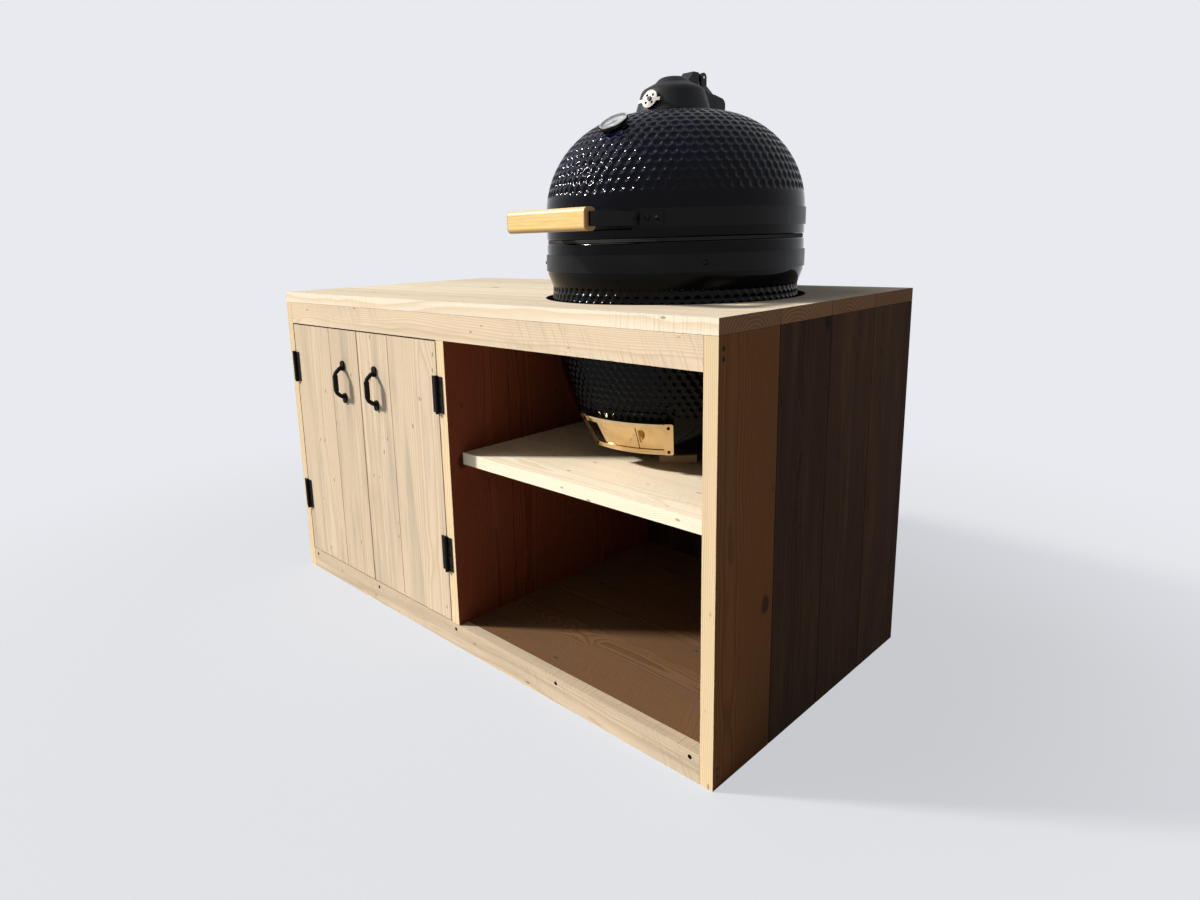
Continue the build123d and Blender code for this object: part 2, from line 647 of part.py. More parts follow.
# Doors: two boards each on two ledges, with hinge leaves, a bow pull and their screws
for name, side in (("left", -1), ("right", 1)):
    leaf_seats = leaf_screws(side, -1)
    pull_seats = pull_feet(side)
    seam = DOOR_WIDTH - DOOR_INNER_BOARD

    with BuildPart() as door_planks:
        for start, end in ((0, seam - BOARD_SEAM / 2), (seam + BOARD_SEAM / 2, DOOR_WIDTH)):
            block((door_x(side, start), FRONT, DOOR_LOW), (door_x(side, end), DOOR_BACK, DOOR_HIGH))
        chamfer(door_planks.edges().filter_by(Axis.Z), BOARD_ARRIS)
        small_screws(leaf_seats + pull_seats, SCREW_FIT, Mode.SUBTRACT)
        strike_screw(side, SCREW_FIT, Mode.SUBTRACT)
    save(door_planks, f"{name}_door_planks")

    with BuildPart() as door_ledges:
        for low in (DOOR_LOW + LEDGE_END, DOOR_HIGH - LEDGE_END - LEDGE_WIDTH):
            near = (door_x(side, LEDGE_INSET), DOOR_BACK, low)
            far = (door_x(side, DOOR_WIDTH - LEDGE_INSET), DOOR_BACK + LEDGE_THICK, low + LEDGE_WIDTH)
            block(near, far)
    save(door_ledges, f"{name}_door_ledges")

    with BuildPart() as door_hinge_leaves:
        hinge_leaves(side, -1, HINGE_PIN_R + RUNNING_FIT, leaf_seats)
    save(door_hinge_leaves, f"{name}_door_hinge_leaves")

    with BuildPart() as door_screws:
        small_screws(leaf_seats + pull_seats)
        strike_screw(side)
    save(door_screws, f"{name}_door_screws")

    # The bow leaves each foot square to the door, slopes out to the grip and carries a thicker grip
    pull_x = door_x(side, DOOR_WIDTH - PULL_INSET)
    bow_plane = Plane(origin=(pull_x, FRONT, PULL_Z), x_dir=(0, -1, 0), z_dir=(-1, 0, 0))
    foot_z = PULL_LENGTH / 2 - PULL_FOOT_LENGTH + PULL_FOOT_WIDTH / 2
    rod_x = PULL_REACH - PULL_GRIP_R
    shoulder_z = PULL_GRIP_LENGTH / 2 + PULL_ROD_R
    with BuildPart() as door_pull:
        with BuildLine(bow_plane) as bow:
            FilletPolyline(
                (PULL_FOOT_THICK / 2, foot_z),
                (PULL_FOOT_THICK * 2, foot_z),
                (rod_x, shoulder_z),
                (rod_x, -shoulder_z),
                (PULL_FOOT_THICK * 2, -foot_z),
                (PULL_FOOT_THICK / 2, -foot_z),
                radius=PULL_BEND_R,
            )
        with BuildSketch(Plane(origin=bow.line @ 0, z_dir=bow.line % 0)):
            Circle(PULL_ROD_R)
        sweep()
        with Locations((pull_x, FRONT - rod_x, PULL_Z)):
            Cylinder(PULL_GRIP_R, PULL_GRIP_LENGTH)
        for end in (-1, 1):
            foot_middle = end * (PULL_LENGTH - PULL_FOOT_LENGTH) / 2
            foot_origin = (pull_x, FRONT, PULL_Z + foot_middle)
            with BuildSketch(Plane(origin=foot_origin, x_dir=(0, 0, 1), z_dir=(0, -1, 0))):
                SlotOverall(PULL_FOOT_LENGTH, PULL_FOOT_WIDTH)
            extrude(amount=PULL_FOOT_THICK)
        small_screws(pull_seats, SCREW_FIT, Mode.SUBTRACT)
    save(door_pull, f"{name}_door_pull")

# Ceramic shoes on the shelf
with BuildPart() as kamado_shoes:
    for number in range(SHOE_COUNT):
        shoe_turn = SHOE_TURN + FULL_TURN / SHOE_COUNT * number
        x, y = kamado_point(SHOE_OUTER_R - SHOE_DEPTH / 2, shoe_turn)
        with Locations(Location((x, y, SHELF_TOP), (0, 0, shoe_turn))):
            Box(SHOE_WIDTH, SHOE_DEPTH, SHOE_HEIGHT, align=FLAT_BASE)
save(kamado_shoes, "kamado_shoes")


def bowl_turned(wall, foot_r, foot_z, rim_r, mode):
    """The bowl's outer shape turned solid, or its hollow, which is drawn a wall further in."""
    neck_z = RIM_Z - BOWL_NECK_DROP
    with BuildSketch(KAMADO_SECTION) as outline:
        with BuildLine():
            belly = ThreePointArc(
                (BOWL_HEEL_R - wall, BOWL_Z + BOWL_HEEL_RISE),
                (BOWL_BELLY_R - wall, BOWL_Z + BOWL_BELLY_RISE),
                (BOWL_NECK_R - wall, neck_z),
            )
            heel = TangentArc(belly @ 0, (foot_r, foot_z), tangent=-1 * (belly % 0))
            Polyline(
                belly @ 1,
                (rim_r, RIM_Z - RIM_BELT),
                (rim_r, RIM_Z),
                (0, RIM_Z),
                (0, foot_z),
                heel @ 1,
            )
        make_face()
    revolve(outline.sketch, axis=KAMADO_AXIS, mode=mode)


DRAFT_PORT = (DRAFT_PORT_TURN - DRAFT_PORT_HALF, DRAFT_PORT_TURN + DRAFT_PORT_HALF)
DRAFT_PORT_LOW = BOWL_Z + DRAFT_PORT_LOW_RISE
DRAFT_PORT_Z = (DRAFT_PORT_LOW, DRAFT_PORT_LOW + DRAFT_PORT_HEIGHT)

with BuildPart() as kamado_bowl:
    bowl_turned(0, BOWL_FOOT_R, BOWL_Z, RIM_R, Mode.ADD)
    bowl_turned(BOWL_WALL, BOWL_FOOT_R - BOWL_WALL, BOWL_Z + BOWL_FLOOR, RIM_R - RIM_WALL, Mode.SUBTRACT)
    sector(BOWL_FOOT_R, RIM_R, *DRAFT_PORT, *DRAFT_PORT_Z, Mode.SUBTRACT)
save(kamado_bowl, "kamado_bowl")

# Felt gaskets on the bowl and on the dome
with BuildPart() as bowl_gasket:
    ring(RIM_R - RIM_WALL + GASKET_INSET, RIM_R - GASKET_INSET, RIM_Z, RIM_Z + GASKET_THICK)
save(bowl_gasket, "bowl_gasket")

with BuildPart() as dome_gasket:
    ring(RIM_R - DOME_WALL, RIM_R - GASKET_INSET, LID_Z - GASKET_THICK, LID_Z)
save(dome_gasket, "dome_gasket")

# Firebox, fire ring and the two grates
LEDGE_R = FIREBOX_WAIST_R - FIREBOX_WALL
with BuildPart() as firebox:
    with BuildSketch(KAMADO_SECTION):
        with BuildLine():
            Polyline(
                (0, FIREBOX_Z),
                (FIREBOX_FOOT_R, FIREBOX_Z),
                (FIREBOX_WAIST_R, FIREBOX_Z + FIREBOX_WAIST_RISE),
                (FIREBOX_TOP_R, FIREBOX_TOP),
                (FIREBOX_TOP_R - FIREBOX_WALL, FIREBOX_TOP),
                (LEDGE_R, FIREBOX_Z + FIREBOX_WAIST_RISE),
                (LEDGE_R - GRATE_LEDGE, FIREBOX_Z + FIREBOX_WAIST_RISE),
                (FIREBOX_FOOT_R - GRATE_LEDGE, FIREBOX_Z + FIREBOX_FLOOR),
                (0, FIREBOX_Z + FIREBOX_FLOOR),
                close=True,
            )
        make_face()
    revolve(axis=KAMADO_AXIS)
    sector(FIREBOX_FOOT_R - GRATE_LEDGE, RIM_R, *DRAFT_PORT, *DRAFT_PORT_Z, Mode.SUBTRACT)
save(firebox, "firebox")

CHARCOAL_Z = FIREBOX_Z + FIREBOX_WAIST_RISE
with BuildPart() as charcoal_grate:
    with BuildSketch(Plane(origin=(KAMADO_X, KAMADO_Y, CHARCOAL_Z))):
        Circle(LEDGE_R - GRATE_FIT)
        for hole_ring in (1, 2, 3):
            with PolarLocations(hole_ring * (LEDGE_R - GRATE_LEDGE) / 4, 6 * hole_ring):
                Circle(GRATE_HOLE_R, mode=Mode.SUBTRACT)
    extrude(amount=GRATE_THICK)
save(charcoal_grate, "charcoal_grate")

with BuildPart() as fire_ring:
    ring(FIREBOX_TOP_R - FIRE_RING_WALL, FIREBOX_TOP_R, FIREBOX_TOP, FIRE_RING_TOP)
save(fire_ring, "fire_ring")

GRILL_R = FIREBOX_TOP_R + GRILL_OVERHANG
BAR_COUNT = int((GRILL_R - GRILL_RIM) / GRILL_PITCH)
with BuildPart() as cooking_grate:
    with BuildSketch(Plane(origin=(KAMADO_X, KAMADO_Y, FIRE_RING_TOP))):
        Circle(GRILL_R)
        Circle(GRILL_R - GRILL_RIM, mode=Mode.SUBTRACT)
        for number in range(-BAR_COUNT, BAR_COUNT + 1):
            chord = 2 * sqrt((GRILL_R - GRILL_RIM / 2) ** 2 - (number * GRILL_PITCH) ** 2)
            with Locations((number * GRILL_PITCH, 0)):
                Rectangle(GRILL_BAR, chord)
    extrude(amount=GRILL_THICK)
save(cooking_grate, "cooking_grate")

# Bands, with the bolts that hold them, the lid hinge and the handle arms
BAND_BOLT_SEATS = [kamado_facing(BAND_OUTER_R, side * BAND_BOLT_TURN, LOWER_BAND_Z) for side in (-1, 1)]
ARM_PAD_R = BAND_OUTER_R + ARM_PAD
HANDLE_BOLT_SEATS = [
    kamado_facing(ARM_PAD_R, side * turn, UPPER_BAND_Z) for side in (-1, 1) for turn in HANDLE_BOLT_TURNS
]
WEB_BACK = KAMADO_Y + BAND_OUTER_R + HINGE_WEB


def hinge_bolt_seats(z):
    """Seats of the two bolts that hold a hinge bracket to its band."""
    return [facing(KAMADO_X + side * HINGE_BOLT_SPREAD, WEB_BACK, z, (0, 1, 0)) for side in (-1, 1)]


def bolt_holes(seats, length):
    """Clear holes behind the seats of some bolts."""
    for seat in seats:
        with Locations(seat):
            Cylinder(BOLT_R + SCREW_FIT, length, align=FLAT_TOP, mode=Mode.SUBTRACT)


# The bolts end half way through their band, which curves away from the flat web
BAND_AT_BOLT = KAMADO_Y + sqrt(BAND_OUTER_R**2 - HINGE_BOLT_SPREAD**2)
HINGE_BOLT_LENGTH = WEB_BACK - BAND_AT_BOLT + BAND_THICK / 2
for name, middle, band_seats, shank in (
    ("lower_band", LOWER_BAND_Z, BAND_BOLT_SEATS, BAND_THICK),
    ("upper_band", UPPER_BAND_Z, HANDLE_BOLT_SEATS, ARM_PAD + BAND_THICK),
):
    with BuildPart() as band:
        ring(BAND_INNER_R, BAND_OUTER_R, middle - BAND_HEIGHT / 2, middle + BAND_HEIGHT / 2)
        bolt_holes(band_seats, shank + BAND_THICK)
        bolt_holes(hinge_bolt_seats(middle), HINGE_BOLT_LENGTH + BAND_THICK)
    save(band, name)

    with BuildPart() as band_bolts:
        for seat in band_seats:
            bolt(seat, shank)
        for seat in hinge_bolt_seats(middle):
            bolt(seat, HINGE_BOLT_LENGTH)
    save(band_bolts, f"{name}_bolts")


def hinge_cheek(low_x, high_x, web_z):
    """A cheek of the lid hinge: it joins a web on a band to the pivot."""
    with BuildSketch(Plane(origin=(low_x, 0, 0), x_dir=(0, 1, 0), z_dir=(1, 0, 0))) as outline:
        with Locations((WEB_BACK - HINGE_WEB / 2, web_z)):
            Rectangle(HINGE_WEB, BAND_HEIGHT)
        with Locations((PIVOT_Y, PIVOT_Z)):
            Circle(PIVOT_KNUCKLE_R)
        make_hull()
    extrude(outline.sketch, amount=high_x - low_x)


EAR_IN = LID_KNUCKLE_WIDTH / 2 + EAR_GAP
EAR_OUT = EAR_IN + EAR_THICK
SIDEWAYS = Plane(origin=(KAMADO_X, PIVOT_Y, PIVOT_Z), z_dir=(1, 0, 0))


def hinge_web(z):
    """The web of a hinge bracket, which is hollowed later to lie on its band."""
    low, high = z - BAND_HEIGHT / 2, z + BAND_HEIGHT / 2
    half = HINGE_WEB_WIDTH / 2
    block((KAMADO_X - half, KAMADO_Y + RIM_R / 2, low), (KAMADO_X + half, WEB_BACK, high))


with BuildPart() as hinge_base_bracket:
    hinge_web(LOWER_BAND_Z)
    hinge_cheek(KAMADO_X - EAR_OUT, KAMADO_X - EAR_IN, LOWER_BAND_Z)
    hinge_cheek(KAMADO_X + EAR_IN, KAMADO_X + EAR_OUT, LOWER_BAND_Z)
    with BuildSketch(Plane(origin=(KAMADO_X, KAMADO_Y, 0))):
        Circle(BAND_OUTER_R)
    extrude(amount=PIVOT_Z + RIM_R, mode=Mode.SUBTRACT)
    bolt_holes(hinge_bolt_seats(LOWER_BAND_Z), HINGE_BOLT_LENGTH + BAND_THICK)
    with Locations(SIDEWAYS):
        Cylinder(PIVOT_PIN_R, 2 * EAR_OUT, mode=Mode.SUBTRACT)
save(hinge_base_bracket, "hinge_base_bracket")

with BuildPart() as hinge_lid_bracket:
    hinge_web(UPPER_BAND_Z)
    hinge_cheek(KAMADO_X - LID_KNUCKLE_WIDTH / 2, KAMADO_X + LID_KNUCKLE_WIDTH / 2, UPPER_BAND_Z)
    with BuildSketch(Plane(origin=(KAMADO_X, KAMADO_Y, 0))):
        Circle(BAND_OUTER_R)
    extrude(amount=PIVOT_Z + RIM_R, mode=Mode.SUBTRACT)
    bolt_holes(hinge_bolt_seats(UPPER_BAND_Z), HINGE_BOLT_LENGTH + BAND_THICK)
    with Locations(SIDEWAYS):
        Cylinder(PIVOT_PIN_R + RUNNING_FIT, 2 * EAR_OUT, mode=Mode.SUBTRACT)
save(hinge_lid_bracket, "hinge_lid_bracket")

with BuildPart() as lid_hinge_pin:
    with Locations(SIDEWAYS):
        Cylinder(PIVOT_PIN_R, 2 * EAR_OUT)
        for end in (-1, 1):
            with Locations((0, 0, end * (EAR_OUT + PIVOT_PIN_HEAD / 2))):
                Cylinder(PIVOT_PIN_HEAD_R, PIVOT_PIN_HEAD)
save(lid_hinge_pin, "lid_hinge_pin")

# Dome: an upright belt, then one arc in to the vent hole
THERMO_Y = KAMADO_Y - DOME_ARC_X - DOME_ARC_R * cos(radians(THERMO_TILT))
THERMO_Z = DOME_ARC_Z + DOME_ARC_R * sin(radians(THERMO_TILT))
THERMO_OUT = (0, -cos(radians(THERMO_TILT)), sin(radians(THERMO_TILT)))
THERMO_FACE = Plane(origin=(KAMADO_X, THERMO_Y, THERMO_Z), x_dir=(1, 0, 0), z_dir=THERMO_OUT)


def dome_arc(arc_r):
    """Arc of the dome's outside or inside, from its belt up to the vent hole."""
    top_z = DOME_ARC_Z + sqrt(arc_r**2 - (VENT_HOLE_R - DOME_ARC_X) ** 2)
    lean = radians(45)
    middle = (DOME_ARC_X + arc_r * cos(lean), DOME_ARC_Z + arc_r * sin(lean))
    return ThreePointArc((DOME_ARC_X + arc_r, DOME_ARC_Z), middle, (VENT_HOLE_R, top_z))


with BuildPart() as kamado_dome:
    with BuildSketch(KAMADO_SECTION):
        with BuildLine():
            outside = dome_arc(DOME_ARC_R)
            inside = dome_arc(DOME_ARC_R - DOME_WALL)
            Line(outside @ 1, inside @ 1)
            Polyline(outside @ 0, (RIM_R, LID_Z), (RIM_R - DOME_WALL, LID_Z), inside @ 0)
        make_face()
    revolve(axis=KAMADO_AXIS)
    with Locations(THERMO_FACE):
        Cylinder(STEM_R + SCREW_FIT, 2 * STEM_LENGTH, mode=Mode.SUBTRACT)
save(kamado_dome, "kamado_dome")

# Handle: a pad on the band, a leg forward to the grip and a plate on the grip's end
with BuildPart() as handle_arms:
    for side in (-1, 1):
        turns = sorted((side * ARM_PAD_START, side * ARM_PAD_END))
        arm_low = UPPER_BAND_Z - ARM_HEIGHT / 2
        arm_high = UPPER_BAND_Z + ARM_HEIGHT / 2
        sector(BAND_OUTER_R, ARM_PAD_R, *turns, arm_low, arm_high)
        root_near = kamado_point(ARM_PAD_R - ARM_PAD / 2, side * ARM_PAD_START)
        root_far = kamado_point(ARM_PAD_R - ARM_PAD / 2, side * (ARM_PAD_START + ARM_ROOT))
        grip_end = KAMADO_X + side * GRIP_LENGTH / 2
        with BuildSketch(Plane.XY.offset(arm_low)):
            with BuildLine():
                Polyline(
                    (grip_end, GRIP_Y - ARM_PLATE),
                    (grip_end + side * ARM_PLATE, GRIP_Y - ARM_PLATE),
                    (grip_end + side * ARM_PLATE, GRIP_Y + GRIP_DEPTH / 2),
                    root_far,
                    root_near,
                    (grip_end, GRIP_Y + GRIP_DEPTH / 2),
                    close=True,
                )
            make_face()
        extrude(amount=ARM_HEIGHT)
    bolt_holes(HANDLE_BOLT_SEATS, ARM_PAD + BAND_THICK)
save(handle_arms, "handle_arms")

GRIP_START = Plane(
    origin=(KAMADO_X - GRIP_LENGTH / 2, GRIP_Y, UPPER_BAND_Z), x_dir=(0, 1, 0), z_dir=(1, 0, 0)
)
with BuildPart() as handle_grip:
    with BuildSketch(GRIP_START):
        RectangleRounded(GRIP_DEPTH, GRIP_HEIGHT, GRIP_ROUND)
    extrude(amount=GRIP_LENGTH)
    fillet(handle_grip.faces().filter_by(Axis.X).edges(), GRIP_ROUND / 3)
save(handle_grip, "handle_grip")

# Thermometer: a case on a boss with its stem through the dome, a needle on a spindle, and a glass
CASE_TOP = THERMO_STANDOFF + THERMO_HEIGHT
DIAL_Z = THERMO_STANDOFF + THERMO_FLOOR
LENS_Z = CASE_TOP - LENS_RECESS - LENS_THICK


def thermo_drum(radius, low, high, mode=Mode.ADD):
    """A drum along the thermometer's axis, between two heights over the dome."""
    with Locations(THERMO_FACE.offset(low)):
        Cylinder(radius, high - low, align=FLAT_BASE, mode=mode)


LENS_R = THERMO_R - THERMO_RIM
with BuildPart() as thermometer_case:
    thermo_drum(THERMO_R, THERMO_STANDOFF, CASE_TOP)
    thermo_drum(LENS_R, LENS_Z, CASE_TOP, Mode.SUBTRACT)
    thermo_drum(LENS_R - LENS_LEDGE, DIAL_Z, CASE_TOP, Mode.SUBTRACT)
    thermo_drum(THERMO_BOSS_R, SCREW_FIT, THERMO_STANDOFF)
    thermo_drum(STEM_R, -STEM_LENGTH, THERMO_STANDOFF)
    thermo_drum(SPINDLE_R, DIAL_Z, LENS_Z - NEEDLE_GAP)
save(thermometer_case, "thermometer_case")

with BuildPart() as thermometer_lens:
    thermo_drum(LENS_R - LENS_FIT, LENS_Z, LENS_Z + LENS_THICK)
save(thermometer_lens, "thermometer_lens")

with BuildPart() as thermometer_needle:
    with BuildSketch(THERMO_FACE.offset(DIAL_Z + NEEDLE_GAP)):
        with Locations(Rotation(0, 0, NEEDLE_REST)):
            Polygon(
                (-NEEDLE_TAIL, -NEEDLE_WIDTH / 2),
                (NEEDLE_LENGTH, 0),
                (-NEEDLE_TAIL, NEEDLE_WIDTH / 2),
                align=None,
            )
        Circle(NEEDLE_HUB_R)
        Circle(SPINDLE_R + RUNNING_FIT, mode=Mode.SUBTRACT)
    extrude(amount=NEEDLE_THICK)
save(thermometer_needle, "thermometer_needle")

# Vent tower: a cast cone on the dome, with a box at its rear, a saddle with two cap ears and a ported boss in front
TOWER_Z = dome_height(VENT_HOLE_R)
REAR_BOX_LOW = dome_height(REAR_BOX_REACH)
CONE_LOW = TOWER_Z + TOWER_FOOT
CONE_HIGH = CONE_LOW + TOWER_CONE
TOWER_TOP = CONE_HIGH + TOWER_SHOULDER
EDGE_Z = CONE_HIGH + TOWER_EDGE_RISE
CAP_EARS_OUT = CAP_KNUCKLE_WIDTH / 2 + CAP_GAP + CAP_EAR_THICK
CAP_Z = TOWER_TOP + CAP_GAP
CAP_PIN_Y = KAMADO_Y + CAP_PIN_REACH
CAP_PIN_Z = CAP_Z + CAP_PIN_RISE
CONE_LINE = (TOWER_TOP_R - TOWER_BASE_R, TOWER_CONE)
CONE_LEAN = atan2(TOWER_BASE_R - TOWER_TOP_R, TOWER_CONE)
DAMPER_SEAT_R = TOWER_BASE_R - DAMPER_RISE * (TOWER_BASE_R - TOWER_TOP_R) / TOWER_CONE
DAMPER_FACE = Plane(
    origin=(KAMADO_X, KAMADO_Y - DAMPER_SEAT_R, CONE_LOW + DAMPER_RISE),
    x_dir=(1, 0, 0),
    z_dir=(0, -cos(CONE_LEAN), sin(CONE_LEAN)),
)
CAP_PIN_SIDEWAYS = Plane(origin=(KAMADO_X, CAP_PIN_Y, CAP_PIN_Z), z_dir=(1, 0, 0))


def damper_drum(radius, low, high, mode=Mode.ADD):
    """A drum along the damper's axis, between two heights over the cone."""
    with Locations(DAMPER_FACE.offset(low)):
        Cylinder(radius, high - low, align=FLAT_BASE, mode=mode)


with BuildPart() as vent_tower:
    with BuildSketch(KAMADO_SECTION):
        with BuildLine():
            edge = TangentArc((TOWER_TOP_R, CONE_HIGH), (TOWER_EDGE_R, EDGE_Z), tangent=CONE_LINE)
            Polyline(
                edge @ 1,
                (TOWER_CROWN_R, TOWER_TOP),
                (0, TOWER_TOP),
                (0, REAR_BOX_LOW),
                (TOWER_BASE_R, REAR_BOX_LOW),
                (TOWER_BASE_R, CONE_LOW),
                edge @ 0,
            )
        make_face()
    revolve(axis=KAMADO_AXIS)
    # The rear box slopes down behind the cap's ears and rounds over to its back
    box_origin = (KAMADO_X - REAR_BOX_WIDTH / 2, KAMADO_Y, 0)
    box_top = CONE_HIGH + REAR_BOX_FRONT_RISE
    with BuildSketch(Plane(origin=box_origin, x_dir=(0, 1, 0), z_dir=(1, 0, 0))) as box_side:
        with BuildLine():
            Polyline(
                (TOWER_MOUTH_R, REAR_BOX_LOW),
                (TOWER_MOUTH_R, CONE_HIGH),
                (CAP_PIN_REACH - CAP_EAR_R, box_top),
                (CAP_PIN_REACH + CAP_EAR_R, box_top),
                (REAR_BOX_REACH, TOWER_Z + REAR_BOX_BACK_HEIGHT),
                (REAR_BOX_REACH - REAR_BOX_TUCK, REAR_BOX_LOW),
                close=True,
            )
        make_face()
        fillet(box_side.vertices().sort_by(Axis.X)[-1], REAR_BOX_ROUND)
    extrude(amount=REAR_BOX_WIDTH)
    # The saddle narrows from the box up to the ears
    saddle_origin = (KAMADO_X, KAMADO_Y + CAP_PIN_REACH + CAP_EAR_R, CONE_HIGH)
    with BuildSketch(Plane(origin=saddle_origin, x_dir=(1, 0, 0), z_dir=(0, -1, 0))):
        with BuildLine():
            Polyline(
                (-REAR_BOX_WIDTH / 2, 0),
                (REAR_BOX_WIDTH / 2, 0),
                (CAP_EARS_OUT, SADDLE_HEIGHT),
                (-CAP_EARS_OUT, SADDLE_HEIGHT),
                close=True,
            )
        make_face()
    extrude(amount=2 * CAP_EAR_R)
    for side in (-1, 1):
        ear_start = CAP_KNUCKLE_WIDTH / 2 + CAP_GAP
        ear_x = KAMADO_X + (ear_start if side > 0 else -ear_start - CAP_EAR_THICK)
        with BuildSketch(Plane(origin=(ear_x, 0, 0), x_dir=(0, 1, 0), z_dir=(1, 0, 0))):
            with Locations((CAP_PIN_Y, CAP_PIN_Z)):
                Circle(CAP_EAR_R)
            with Locations((CAP_PIN_Y, (CAP_PIN_Z + CONE_HIGH) / 2)):
                Rectangle(2 * CAP_EAR_R, CAP_PIN_Z - CONE_HIGH)
        extrude(amount=CAP_EAR_THICK)
    damper_drum(DAMPER_BOSS_R, -DAMPER_BOSS, DAMPER_BOSS)
    # The foot is cut to lie on the dome
    with BuildSketch(KAMADO_SECTION):
        with BuildLine():
            under = dome_arc(DOME_ARC_R)
            Polyline(under @ 1, (VENT_HOLE_R, DOME_ARC_Z), under @ 0)
        make_face()
    revolve(axis=KAMADO_AXIS, mode=Mode.SUBTRACT)
    # Hollow of the cone and its open mouth
    with BuildSketch(KAMADO_SECTION):
        with BuildLine():
            Polyline(
                (0, REAR_BOX_LOW),
                (VENT_HOLE_R, REAR_BOX_LOW),
                (VENT_HOLE_R, CONE_LOW),
                (TOWER_BASE_R - TOWER_WALL, CONE_LOW),
                (TOWER_TOP_R - TOWER_WALL, CONE_HIGH),
                (TOWER_EDGE_R - TOWER_WALL, EDGE_Z - TOWER_WALL),
                (TOWER_MOUTH_R, TOWER_TOP - TOWER_WALL),
                (TOWER_MOUTH_R, TOWER_TOP),
                (0, TOWER_TOP),
                close=True,
            )
        make_face()
    revolve(axis=KAMADO_AXIS, mode=Mode.SUBTRACT)
    damper_drum(DAMPER_STUD_R, 0, DAMPER_BOSS + 2 * DAMPER_GAP + DAMPER_THICK)
    head_low = DAMPER_BOSS + 2 * DAMPER_GAP + DAMPER_THICK
    damper_drum(DAMPER_STUD_HEAD_R, head_low, head_low + DAMPER_STUD_HEAD)
    with Locations(DAMPER_FACE.offset(-DAMPER_R)):
        with PolarLocations(DAMPER_PORT_RING, DAMPER_PORTS):
            Cylinder(DAMPER_PORT_R, DAMPER_R + DAMPER_BOSS, align=FLAT_BASE, mode=Mode.SUBTRACT)
    with Locations(CAP_PIN_SIDEWAYS):
        Cylinder(CAP_PIN_R, REAR_BOX_WIDTH, mode=Mode.SUBTRACT)
save(vent_tower, "vent_tower")

# The damper disc hides the ports when it is shut and turns half a port step to open them
with BuildPart() as vent_damper:
    with BuildSketch(DAMPER_FACE.offset(DAMPER_BOSS + DAMPER_GAP)):
        Circle(DAMPER_R)
        with Locations((0, -DAMPER_TAB_DROP)):
            Rectangle(2 * (DAMPER_R + DAMPER_TAB_LENGTH), DAMPER_TAB_WIDTH)
        Circle(DAMPER_STUD_R + RUNNING_FIT, mode=Mode.SUBTRACT)
        with PolarLocations(DAMPER_PORT_RING, DAMPER_PORTS, start_angle=FULL_TURN / 2 / DAMPER_PORTS):
            Circle(DAMPER_PORT_R, mode=Mode.SUBTRACT)
    extrude(amount=DAMPER_THICK)
save(vent_damper, "vent_damper")

with BuildPart() as vent_cap_pin:
    with Locations(CAP_PIN_SIDEWAYS):
        Cylinder(CAP_PIN_R, 2 * CAP_EARS_OUT)
save(vent_cap_pin, "vent_cap_pin")

# Cap: a hollow lid with a broad lug at its rear and a knuckle from the lug to its pin
with BuildPart() as vent_cap:
    with BuildSketch(KAMADO_SECTION):
        with BuildLine():
            brim = Line((CAP_R - CAP_WALL, CAP_Z), (CAP_R, CAP_Z))
            brow = Line(brim @ 1, (CAP_R - CAP_HEIGHT / 2, CAP_Z + CAP_HEIGHT / 2))
            top = TangentArc(brow @ 1, (CAP_TOP_R, CAP_Z + CAP_HEIGHT), tangent=brow % 1)
            Polyline(
                top @ 1,
                (0, CAP_Z + CAP_HEIGHT),
                (0, CAP_Z + CAP_HEIGHT - CAP_WALL),
                (CAP_TOP_R, CAP_Z + CAP_HEIGHT - CAP_WALL),
                brim @ 0,
            )
        make_face()
    revolve(axis=KAMADO_AXIS)
    lug_low = CAP_Z + CAP_LUG_RISE
    lug_high = CAP_PIN_Z + CAP_KNUCKLE_R
    lug_origin = (KAMADO_X - CAP_EARS_OUT, KAMADO_Y, 0)
    with BuildSketch(Plane(origin=lug_origin, x_dir=(0, 1, 0), z_dir=(1, 0, 0))):
        with BuildLine():
            Polyline(
                (CAP_LUG_START, lug_low),
                (CAP_LUG_END, lug_low),
                (CAP_LUG_END, lug_high),
                (CAP_LUG_END - CAP_LUG_TOP, lug_high),
                (CAP_R, CAP_Z + CAP_HEIGHT),
                (CAP_LUG_START, CAP_Z + CAP_HEIGHT / 2),
                close=True,
            )
        make_face()
    extrude(amount=2 * CAP_EARS_OUT)
    knuckle_origin = (KAMADO_X - CAP_KNUCKLE_WIDTH / 2, KAMADO_Y, 0)
    with BuildSketch(Plane(origin=knuckle_origin, x_dir=(0, 1, 0), z_dir=(1, 0, 0))):
        with Locations((CAP_PIN_REACH, CAP_PIN_Z)):
            Circle(CAP_KNUCKLE_R)
        with Locations(((CAP_LUG_END + CAP_PIN_REACH) / 2, CAP_PIN_Z)):
            Rectangle(CAP_PIN_REACH - CAP_LUG_END, 2 * CAP_KNUCKLE_R)
    extrude(amount=CAP_KNUCKLE_WIDTH)
    with Locations(CAP_PIN_SIDEWAYS):
        Cylinder(CAP_PIN_R + RUNNING_FIT, 2 * CAP_EARS_OUT, mode=Mode.SUBTRACT)
save(vent_cap, "vent_cap")

